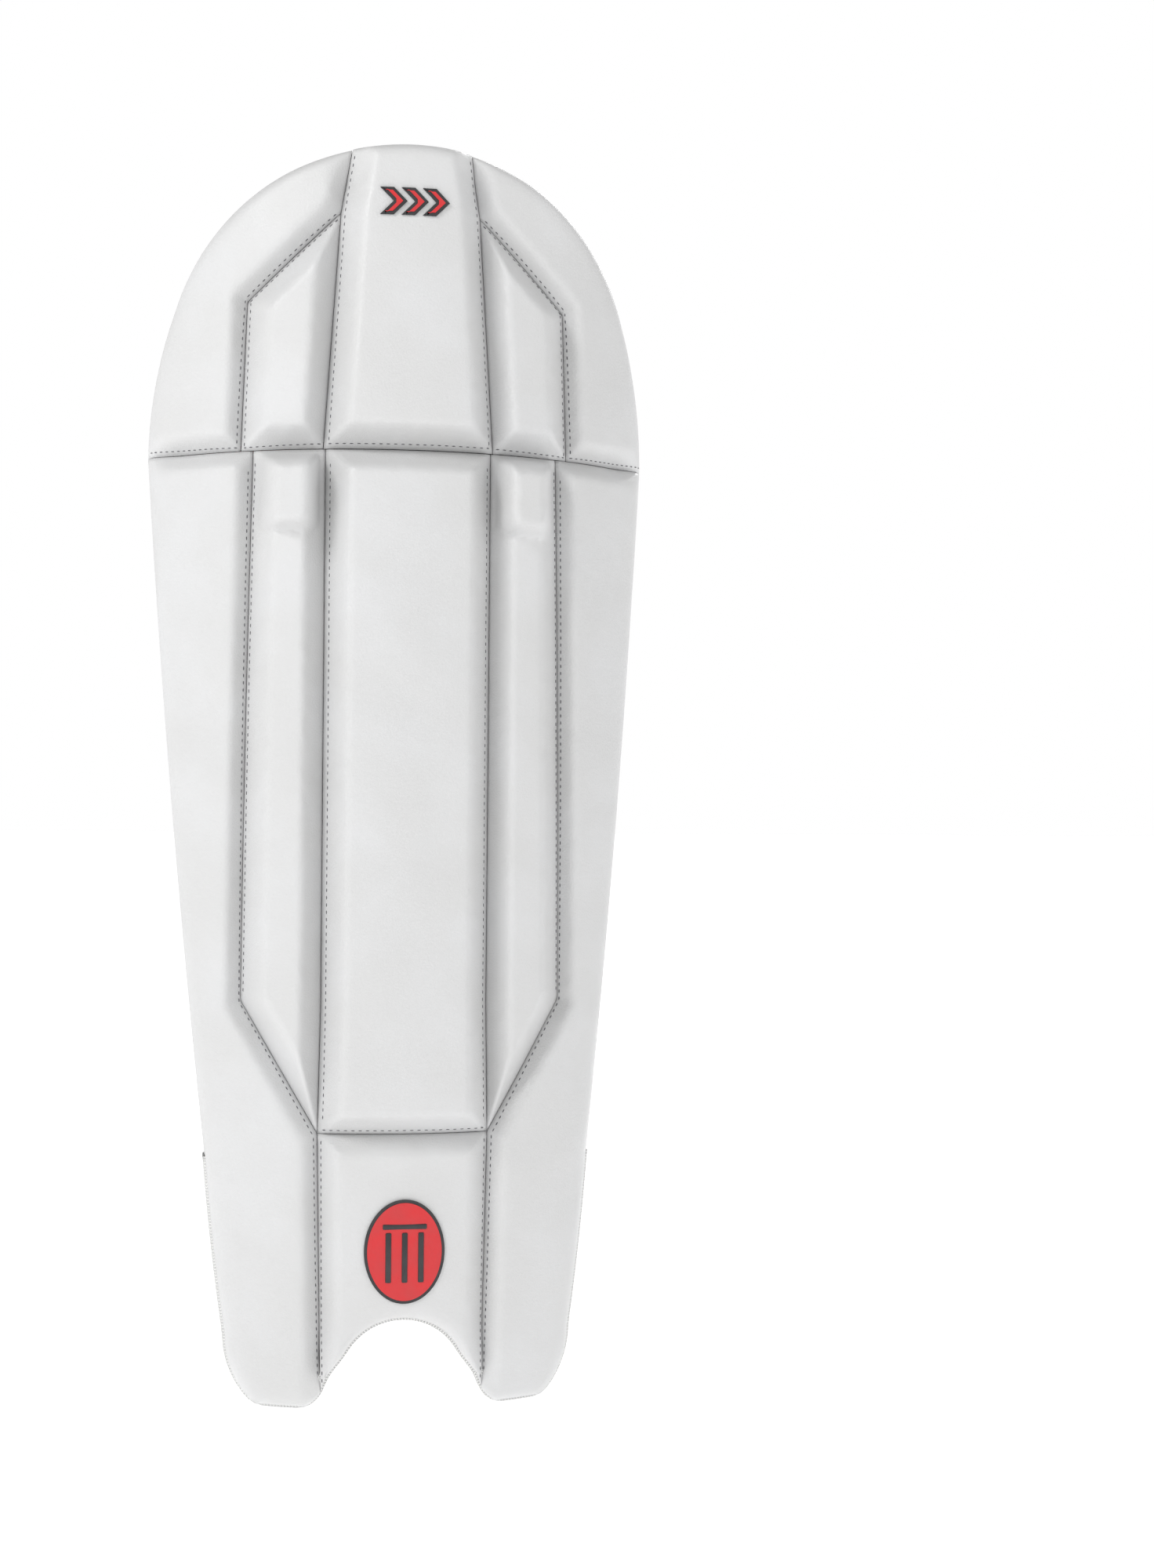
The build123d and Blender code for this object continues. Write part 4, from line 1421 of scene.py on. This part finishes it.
@dataclass
class Bolsters:
    """The three long bolsters and the knee cushion on the back."""

    top_z: float = 0.4615
    whip_pitch: float = 0.0085

    def build(self, finishes: Finishes) -> None:
        """Builds the bolsters and the cushion."""
        top = self.top_z
        centre_edge = np.array([(0.0318, 0.100), (0.032, 0.205), (0.041, top)])
        crest = Crest(0.244, 0.048, 0.014, seed=41.0)
        tuft = (-0.003, 0.116)

        def pinched(points: Array, gaps: dict[str, Array]) -> Array:
            """Rear face of the middle bolster, drawn in where it is tufted."""
            near = np.hypot(points[:, 0] - tuft[0], points[:, 1] - tuft[1])
            angle = np.arctan2(points[:, 1] - tuft[1], points[:, 0] - tuft[0])
            fan = 0.0014 * np.cos(9 * angle) * np.exp(-((near - 0.012) / 0.008) ** 2)
            return crest.depth(points, gaps) - 0.011 * np.exp(-((near / 0.0075) ** 2)) + fan

        bottom = joined(arc((-0.0318, 0.100), (-0.020, 0.0955), (-0.004, 0.1015)),
                        arc((-0.004, 0.1015), (0.018, 0.0955), (0.0318, 0.100)))
        centre = Patch(flipped(centre_edge, Side.RIGHT), centre_edge, bottom, level((-0.041, top), (0.041, top)))
        self.pad(finishes, "bolster_centre", centre, pinched, crest, "printed_pu")
        inner = np.array([(0.0332, 0.098), (0.0332, 0.205), (0.0422, top)])
        left_edge = joined([(0.0735, 0.100), (0.077, 0.205), (0.113, top)])
        crown = level((0.0422, top), (0.113, top))
        left = Patch(inner, left_edge, joined(arc((0.0332, 0.098), (0.053, 0.083), (0.0735, 0.100))), crown)
        right_edge = joined([(0.0415, 0.084), (0.058, 0.140), (0.077, 0.205), (0.113, top)])
        right_inner = joined([(0.0335, 0.0835)], inner[1:])
        right = mirrored(Patch(right_inner, right_edge, level((0.0335, 0.0835), (0.0415, 0.084)), crown))
        for name, patch, seed in (("bolster_left", left, 51.0), ("bolster_right", right, 61.0)):
            shape = Crest(0.244, 0.048, 0.014, seed=seed, round_edge=0.014)
            self.pad(finishes, name, patch, shape.depth, shape, "red_mesh")
        knot = softened("bolster_tuft", "bolster_tuft_knot", 0.0008)
        finishes.dress(knot, "white_thread")
        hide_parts("bolster_tuft")
        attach(knot, Body.SHIN.value)
        self.cushion(finishes)

    def pad(
        self,
        finishes: Finishes,
        name: str,
        patch: Patch,
        rear: Surface,
        crest: Crest,
        finish_name: str,
    ) -> None:
        """Builds one bolster, in place of its cover and foam.

        Args:
            finishes: Materials of the pad.
            name: Name of the bolster's nodes.
            patch: Region that it covers.
            rear: Depth of its rear face.
            crest: Its shape, which also gives its floor.
            finish_name: Its finish.
        """
        obj = block(name + "_pad", patch, crest.floor, rear, upright)
        finishes.dress(obj, finish_name)
        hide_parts(name + "_cover", name + "_foam")
        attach(obj, Body.SHIN.value)
        log.info("%s: %d vertices", obj.name, len(obj.data.vertices))

    def cushion(self, finishes: Finishes) -> None:
        """Builds the knee cushion and its whip stitches."""
        o = OUTLINE
        dome = o.crown()
        inward = np.gradient(dome, axis=0)
        inward /= np.linalg.norm(inward, axis=1)[:, None]
        inset = 0.0062 - 0.0052 * soft_step(dome[:, 1], 0.585, 0.635)
        dome = dome + np.column_stack([-inward[:, 1], inward[:, 0]]) * inset[:, None]
        dome[:, 0] = np.maximum(dome[:, 0], 0.0)
        corner = int(np.searchsorted(-dome[:, 0], -0.098))
        foot = [(0.1250, 0.466), (0.1285, 0.486)]
        side = joined(foot, dome[:corner])
        cap = joined(dome[corner - 1:], flipped(dome[corner - 1:][::-1], Side.RIGHT))[::-1]
        bottom = joined(arc((-0.1250, 0.466), (-0.07, 0.4625), (0.0, 0.4655)),
                        arc((0.0, 0.4655), (0.07, 0.4625), (0.1250, 0.466)))
        patch = Patch(flipped(side, Side.RIGHT), side, bottom, cap)
        crest = Crest(0.215, 0.038, seed=71.0, round_edge=0.020, wrinkle=0.0010)
        seams = (CushionCloth.right_seam_x, CushionCloth.left_seam_x)

        def floor(points: Array, gaps: dict[str, Array]) -> Array:
            """Front face of the cushion."""
            return WRAP.depth(points[:, 0], -0.0074)

        def rear(points: Array, gaps: dict[str, Array]) -> Array:
            """Rear face of the cushion, with its two seams and the gathers at its foot."""
            x, z = points[:, 0], points[:, 1]
            depth = crest.depth(points, gaps)
            for seam_x in seams:
                depth = depth - 0.0042 * np.exp(-(((x - seam_x) / 0.0042) ** 2)) * soft_step(gaps["bottom"], 0.0, 0.01)
            gather = np.exp(-((z - 0.478) / 0.016) ** 2) * np.sin(x / 0.0019 + 1.3 * np.sin(x / 0.011))
            crease = np.maximum(ripple(np.column_stack([x * 0.5, z * 1.4]), 0.017, 75.0), 0.0)
            return depth + 0.0011 * gather * (np.abs(x) < 0.064) - 0.0022 * crease

        obj = block("knee_cushion_pad", patch, floor, rear, upright)
        finishes.dress(obj, "black_pu")
        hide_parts("knee_cushion_cover", "knee_cushion_foam")
        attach(obj, Body.KNEE.value)
        log.info("%s: %d vertices", obj.name, len(obj.data.vertices))
        self.whip(finishes)

    def whip(self, finishes: Finishes) -> None:
        """Sews the cushion's right side to the shell's turned edge with slanted stitches."""
        dome = flipped(OUTLINE.crown(), Side.RIGHT)
        path = joined([(-OUTLINE.half_width + 0.001, 0.468)], dome[dome[:, 1] < 0.640])
        place = along_outline(path, -1.0)
        count = round(float(lengths(path)[-1]) / self.whip_pitch)
        rows = []
        for number in range(count):
            at = (number + 0.5) / count
            sway = 0.004 * math.sin(number * 2.4)
            inset = np.array([0.0030, 0.0065, 0.0110])
            rise = np.array([-0.0072, -0.0112, -0.0160])
            spots = place(np.full(3, at) + np.array([-0.4, 0.0, 0.4]) * sway, np.column_stack([inset, rise]))
            rows.append((spots, np.tile([0.2, 1.0, 0.0], (3, 1))))
        sewn = stitched("cushion_whip_stitches", rows, 0.02, (0.0092, 0.0009, 0.0009))
        finishes.dress(sewn, "white_thread")
        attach(sewn, Body.KNEE.value)


@dataclass(frozen=True)
class Run:
    """One strap across the back, with its ring, tab and landing."""

    word: str
    z: float
    edge_x: float
    bulge: float
    tab_outer_x: float
    tab_size: Point
    ring_reach: float = 0.0205
    bar: float = 0.014
    elastic_width: float = 0.068
    landing_width: float = 0.076

    @property
    def radius(self) -> float:
        """Radius of the strap's line."""
        return (self.edge_x**2 + self.bulge**2) / (2 * self.bulge)

    @property
    def centre_y(self) -> float:
        """Depth of the centre of the strap's line."""
        edge_y = float(WRAP.depth(np.array([self.edge_x]), -0.007)[0]) + 0.0003
        return edge_y + self.bulge - self.radius

    @property
    def ring_x(self) -> float:
        """Middle of the ring."""
        return self.edge_x - 0.0024 - self.ring_reach

    def arc_place(self, points: Array, height: Array) -> Array:
        """Places of (x on the line, z) at heights outside the line."""
        angle = np.arcsin(points[:, 0] / self.radius)
        reach = self.radius + height
        return np.column_stack([reach * np.sin(angle), self.centre_y + reach * np.cos(angle), points[:, 1]])

    def folded(self, fold: Array) -> Placed:
        """Places of (distance along a folded line, z) at heights to its left.

        Args:
            fold: The folded line, as rows of (x on the strap's line, height outside it).

        Returns:
            The function that places them.
        """
        spots = self.arc_place(np.column_stack([fold[:, 0], np.zeros(len(fold))]), fold[:, 1])[:, :2]
        along = lengths(spots)
        fine = np.linspace(0.0, along[-1], 600)
        line = np.column_stack([np.interp(fine, along, spots[:, k]) for k in range(2)])
        tangent = np.gradient(line, axis=0)
        wide = np.pad(tangent, ((3, 3), (0, 0)), mode="edge")
        tangent = np.column_stack([np.convolve(wide[:, k], np.ones(7) / 7, mode="valid") for k in range(2)])
        tangent /= np.linalg.norm(tangent, axis=1)[:, None]
        normal = np.column_stack([-tangent[:, 1], tangent[:, 0]])

        def place(points: Array, height: Array) -> Array:
            base = np.column_stack([np.interp(points[:, 0], fine, line[:, k]) for k in range(2)])
            out = np.column_stack([np.interp(points[:, 0], fine, normal[:, k]) for k in range(2)])
            spot = base + out * height[:, None]
            return np.column_stack([spot[:, 0], spot[:, 1], points[:, 1]])

        return place

    def length_of(self, fold: Array) -> float:
        """Length of a folded line."""
        spots = self.arc_place(np.column_stack([fold[:, 0], np.zeros(len(fold))]), fold[:, 1])[:, :2]
        return float(lengths(spots)[-1])


@dataclass
class Strap:
    """One strap, built on its run."""

    run: Run
    thickness: float = 0.0025
    tab_pitch: float = 0.0033

    def place(self, points: Array, height: Array) -> Array:
        """Places of (x, z from the strap's middle) at heights outside its line."""
        return self.run.arc_place(points + np.array([0.0, self.run.z]), height)

    def named(self, part: str) -> str:
        """Name of one of the strap's nodes."""
        return f"{self.run.word}_{part}"

    def build(self, finishes: Finishes) -> None:
        """Builds the landing, the elastic, the ring, its anchor and the tab."""
        self.landing(finishes)
        self.elastic(finishes)
        self.anchor(finishes)
        self.tab(finishes)
        ring = softened(self.named("ring"), self.named("ring_plastic"), 0.0012, 3)
        finishes.dress(ring, "white_plastic")
        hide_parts(self.named("ring"))
        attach(ring, self.named("buckle"))
        patch = softened(self.named("hook_patch"), self.named("hook_pad"), 0.0003, 2)
        finishes.dress(patch, "hook_tape")
        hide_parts(self.named("hook_patch"))
        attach(patch, self.named("end"))
        log.info("%s strap built", self.run.word)

    def landing(self, finishes: Finishes) -> None:
        """Builds the long band that the tab lands on, sewn to the edge of the wing."""
        run = self.run
        half = run.landing_width / 2
        first, last = -run.edge_x + 0.001, run.ring_x - run.ring_reach + run.bar - 0.001
        patch = Patch(level((first, -half), (first, half)), level((last, -half + 0.002), (last, half - 0.002)),
                      level((first, -half), (last, -half + 0.002)), level((first, half), (last, half - 0.002)))

        def top(points: Array, gaps: dict[str, Array]) -> Array:
            """Outer face of the landing."""
            edge = soft_step(np.minimum(gaps["bottom"], gaps["top"]), 0.0, 0.0016)
            return 0.0007 + 0.0008 * edge

        obj = block(self.named("landing_band"), patch, even(0.0), top, self.place, 0.0026)
        finishes.dress(obj, "loop_cloth")
        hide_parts(self.named("landing"))
        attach(obj, Body.SHIN.value)
        rows = []
        for x in (first + 0.004, first + 0.009):
            line = np.column_stack([np.full(60, x), np.linspace(-half + 0.002, half - 0.002, 60)])
            rows.append((self.place(line, np.full(60, 0.0016)), np.tile([x, 0.3, 0.0], (60, 1))))
        sewn = stitched(self.named("landing_stitches"), rows, 0.0036, (0.0026, 0.0007, 0.0007))
        finishes.dress(sewn, "white_thread")
        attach(sewn, Body.SHIN.value)

    def band(self, name: str, fold: Array, width: float, thickness: float, lift: float = 0.0) -> bpy.types.Object:
        """Builds a band of elastic along a folded line.

        Args:
            name: Name of the object.
            fold: The line, as rows of (x, height).
            width: Width of the band.
            thickness: Thickness of the band.
            lift: Raises it off its line.

        Returns:
            The new object.
        """
        run = self.run
        length, half = run.length_of(fold), width / 2
        patch = Patch(level((0, -half), (0, half)), level((length, -half), (length, half)),
                      level((0, -half), (length, -half)), level((0, half), (length, half)))
        follow = run.folded(fold)

        def swell(points: Array, gaps: dict[str, Array]) -> Array:
            """Half the band's thickness, less at its edges."""
            edge = soft_step(np.minimum(gaps["bottom"], gaps["top"]), -0.0010, 0.0016)
            wave = 0.00018 * np.sin(points[:, 0] / 0.00067) * (1.0 - edge)
            return thickness / 2 * (0.35 + 0.65 * edge) + wave

        def over(points: Array, gaps: dict[str, Array]) -> Array:
            """Outer face."""
            return lift + swell(points, gaps)

        def under(points: Array, gaps: dict[str, Array]) -> Array:
            """Inner face."""
            return lift - swell(points, gaps)

        def place(points: Array, height: Array) -> Array:
            """Puts the band on its line."""
            return follow(points + np.array([0.0, run.z]), height)

        obj = block(name, patch, under, over, place, 0.0017)
        return obj

    def elastic(self, finishes: Finishes) -> None:
        """Builds the striped elastic, folded round the near bar of the ring."""
        run = self.run
        near = run.ring_x - run.ring_reach
        far = near + run.bar
        start = run.tab_outer_x + run.tab_size[0] + 0.0006
        line = np.linspace(start, near - 0.007, 60)
        level_ = np.column_stack([line, np.full(60, 0.00305)])
        over = np.array([
            (near - 0.004, 0.0036), (near - 0.0012, 0.0056), (near + 0.0022, 0.0070), (near + 0.006, 0.00735),
            (far - 0.003, 0.00735), (far - 0.0002, 0.0068), (far + 0.0014, 0.0052), (far + 0.0017, 0.0034),
            (far + 0.0014, 0.0021),
        ])
        obj = self.band(self.named("strap_elastic"), np.vstack([level_, over]), run.elastic_width, self.thickness)
        finishes.dress(obj, "elastic")
        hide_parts(self.named("strap"))
        spots = run.arc_place(np.array([[near + 0.0035, run.z], [near - 0.0065, run.z]]), np.array([0.0018, 0.0018]))
        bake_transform(obj)
        sew_x = start + 0.0045
        half = run.elastic_width / 2 - 0.003
        line = np.column_stack([np.full(60, sew_x), np.linspace(-half, half, 60)])
        rows = [(self.place(line, np.full(60, 0.0044)), np.tile([sew_x, 0.3, 0.0], (60, 1)))]
        sewn = stitched(self.named("tab_stitches"), rows, 0.0032, (0.0024, 0.0007, 0.0007))
        finishes.dress(sewn, "dark_thread")
        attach(sewn, self.named("elastic"))

    def anchor(self, finishes: Finishes) -> None:
        """Builds the short loop that holds the far bar of the ring at the edge of the wing."""
        run = self.run
        high = run.ring_x + run.ring_reach
        low = high - run.bar
        fold = np.array([
            (high + 0.0016, 0.00085), (high - 0.002, 0.00078), (low + 0.003, 0.00078), (low - 0.0003, 0.0011),
            (low - 0.0013, 0.0024), (low - 0.0015, 0.0038), (low - 0.0011, 0.0054), (low + 0.0006, 0.0068),
            (low + 0.003, 0.0071), (high - 0.003, 0.0071),
            (high - 0.0002, 0.0066), (high + 0.0013, 0.0052), (high + 0.0017, 0.0036), (high + 0.0019, 0.0022),
        ])
        obj = self.band(self.named("anchor_elastic"), fold, 0.064, 0.0015)
        finishes.dress(obj, "elastic")
        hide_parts(self.named("anchor_loop"))
        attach(obj, self.named("buckle"))

    def tab(self, finishes: Finishes) -> None:
        """Builds the moulded tab, with its curved ribs."""
        run = self.run
        width, height = run.tab_size
        outer, inner, half = run.tab_outer_x, run.tab_outer_x + width, height / 2
        corner = 0.0085
        edge = joined(
            arc((outer + corner, -half), (outer + 0.29 * corner, -half + 0.29 * corner), (outer, -half + corner), 8),
            arc((outer, -half + corner), (outer - 0.0001, 0.0), (outer, half - corner), 20),
            arc((outer, half - corner), (outer + 0.29 * corner, half - 0.29 * corner), (outer + corner, half), 8),
        )
        patch = Patch(edge, level((inner, -half), (inner, half)), level((outer + corner, -half), (inner, -half)),
                      level((outer + corner, half), (inner, half)))

        def face(points: Array, gaps: dict[str, Array]) -> Array:
            """Outer face of the tab."""
            rim = np.minimum(np.minimum(gaps["start"], gaps["bottom"]), gaps["top"])
            side = soft_step(np.minimum(rim, gaps["end"]), -0.0004, 0.0010)
            ribs = 0.5 + 0.5 * np.cos(2 * np.pi * (rim - 0.0009) / self.tab_pitch)
            inside = soft_step(gaps["end"], 0.0022, 0.0034)
            return 0.0035 + side * (0.0013 + 0.0013 * ribs**0.8 * inside + 0.0005 * (1.0 - inside))

        obj = block(self.named("tab_rubber"), patch, even(0.0034), face, self.place, 0.0006)
        finishes.dress(obj, "black_rubber")
        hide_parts(self.named("tab"))
        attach(obj, self.named("end"))
        log.info("%s: %d vertices", obj.name, len(obj.data.vertices))


@dataclass
class Badges:
    """The two raised badges of the front, plain shapes with a dark border."""

    border: float = 0.0016
    dome: float = 0.0004

    def build(self, finishes: Finishes) -> None:
        """Builds both badges."""
        for node, body in (("top_badge", Body.KNEE), ("instep_badge", Body.SHIN)):
            bm = bmesh.new()
            bm.from_mesh(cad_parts[node].data)
            bmesh.ops.remove_doubles(bm, verts=bm.verts[:], dist=WELD)
            faces = [face for face in bm.faces if face.normal.y < -0.8]
            bmesh.ops.inset_region(bm, faces=faces, thickness=self.border, depth=0.0, use_even_offset=True)
            inner = [face for face in faces if face.is_valid]
            grown = bmesh.ops.extrude_face_region(bm, geom=inner)["geom"]
            raised = [item for item in grown if isinstance(item, bmesh.types.BMVert)]
            bmesh.ops.delete(bm, geom=[face for face in inner if face.is_valid], context="FACES_ONLY")
            bmesh.ops.translate(bm, verts=raised, vec=(0.0, -self.dome, 0.0))
            for face in bm.faces:
                face.material_index = 1
            for item in grown:
                if isinstance(item, bmesh.types.BMFace):
                    item.material_index = 0
            bmesh.ops.recalc_face_normals(bm, faces=bm.faces[:])
            obj = finish(bm, node + "_mark", 40.0)
            finishes.dress(obj, "badge", "badge_edge")
            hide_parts(node)
            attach(obj, body.value)
        self.emblem(finishes)

    def emblem(self, finishes: Finishes) -> None:
        """Builds the plain wicket on the instep badge: three stumps and their bails."""
        low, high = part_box("instep_badge")
        middle, face = (low + high) / 2, low.y - self.dome
        bm = bmesh.new()
        bars = [(shift, -0.003, 0.0030, 0.0260) for shift in (-0.0085, 0.0, 0.0085)] + [(0.0, 0.0130, 0.0230, 0.0028)]
        for x, z, width, height in bars:
            place = Matrix.Translation((middle.x + x, face + 0.0004, middle.z + z))
            made = bmesh.ops.create_cube(bm, size=1.0, matrix=place @ Matrix.Diagonal((width, 0.0020, height, 1.0)))
            edges = {edge for vert in made["verts"] for edge in vert.link_edges}
            bmesh.ops.bevel(bm, geom=list(edges), offset=0.0006, affect="EDGES", segments=2, profile=0.5, material=-1)
        for vert in bm.verts:
            vert.co.y += float(WRAP.depth(np.array([vert.co.x]), 0.0112)[0] - WRAP.depth(np.array([0.0]), 0.0112)[0])
        obj = finish(bm, "instep_badge_wicket", 40.0)
        finishes.dress(obj, "badge_edge")
        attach(obj, Body.SHIN.value)


@dataclass
class Studio:
    """Floor, lights and camera."""

    distance: float = 1.265
    azimuth: float = -5.4
    pan: float = 4.05
    roll: float = 0.5
    dip: float = 0.02
    zenith: float = 0.30
    height: float = 0.328
    lens: float = 55.3
    floor_size: float = 14.0
    floor_glow: float = 0.62
    aim: tuple[float, float, float] = (0.0, 0.0, 0.3)

    def build(self) -> None:
        """Sets the pad on a pale floor in soft light."""
        self.floor()
        self.lamp("key", (-1.5, -1.2, 1.7), 0.9, 20.0)
        self.lamp("fill", (1.7, -1.0, 1.1), 1.4, 2.0)
        self.lamp("back", (0.9, 1.7, 1.7), 1.0, 18.0)
        world = bpy.data.worlds.new("studio")
        world.use_nodes = True
        tree = world.node_tree
        background = tree.nodes["Background"]
        split = tree.nodes.new("ShaderNodeSeparateXYZ")
        tree.links.new(tree.nodes.new("ShaderNodeTexCoord").outputs["Generated"], split.inputs[0])
        fade = tree.nodes.new("ShaderNodeMapRange")
        fade.interpolation_type = "SMOOTHSTEP"
        tree.links.new(split.outputs[2], fade.inputs["Value"])
        for name, value in (("From Min", 0.42), ("From Max", 0.75), ("To Min", 1.0), ("To Max", self.zenith)):
            fade.inputs[name].default_value = value
        background.inputs["Color"].default_value = (1.0, 1.0, 1.0, 1.0)
        tree.links.new(fade.outputs[0], background.inputs["Strength"])
        bpy.context.scene.world = world
        bpy.context.scene.view_settings.view_transform = "Standard"
        self.camera()

    def floor(self) -> None:
        """Builds the floor."""
        bm = bmesh.new()
        bmesh.ops.create_grid(bm, x_segments=2, y_segments=2, size=self.floor_size)
        obj = finish(bm, "floor")
        r = Recipe("floor_paper", (0.86, 0.86, 0.865), 0.7)
        where = r.object_space()
        r.paint(r.mix(r.noise(where, 0.4), (0.86, 0.86, 0.865), (0.85, 0.85, 0.857)))
        r.shader.inputs["Emission Color"].default_value = (1.0, 1.0, 1.0, 1.0)
        r.set(Emission_Strength=self.floor_glow)
        obj.data.materials.append(r.material)

    def lamp(self, name: str, place: tuple[float, float, float], size: float, power: float) -> None:
        """Adds a soft lamp that faces the pad."""
        light = bpy.data.lights.new(name, "AREA")
        light.shape, light.size, light.energy = "DISK", size, power
        obj = bpy.data.objects.new(name, light)
        obj.location = place
        obj.rotation_euler = (Vector(self.aim) - Vector(place)).to_track_quat("-Z", "Y").to_euler()
        bpy.context.scene.collection.objects.link(obj)

    def camera(self) -> None:
        """Adds the camera."""
        data = bpy.data.cameras.new("camera")
        data.lens, data.sensor_width, data.sensor_fit = self.lens, 36.0, "AUTO"
        obj = bpy.data.objects.new("camera", data)
        turn = math.radians(self.azimuth)
        obj.location = (self.distance * math.sin(turn), WRAP.front_y - self.distance * math.cos(turn), self.height)
        heading = math.radians(self.azimuth - self.pan)
        turned_to = Matrix.Rotation(heading, 4, "Z")
        tilted = Matrix.Rotation(math.radians(90.0 - self.dip), 4, "X")
        rolled = Matrix.Rotation(math.radians(self.roll), 4, "Z")
        obj.rotation_euler = (turned_to @ tilted @ rolled).to_euler()
        bpy.context.scene.collection.objects.link(obj)
        bpy.context.scene.camera = obj


def main() -> None:
    """Builds the pad and its studio."""
    logging.basicConfig(level=logging.INFO, format="%(message)s")
    finishes = Finishes()
    Studio().build()
    Front().build(finishes)
    Edges().build(finishes)
    Bolsters().build(finishes)
    for run in (
        Run("upper", 0.387, 0.123, 0.019, -0.118, (0.020, 0.058)),
        Run("lower", 0.167, 0.100, 0.017, -0.091, (0.016, 0.056)),
    ):
        Strap(run).build(finishes)
    Badges().build(finishes)


if __name__ == "__main__":
    main()
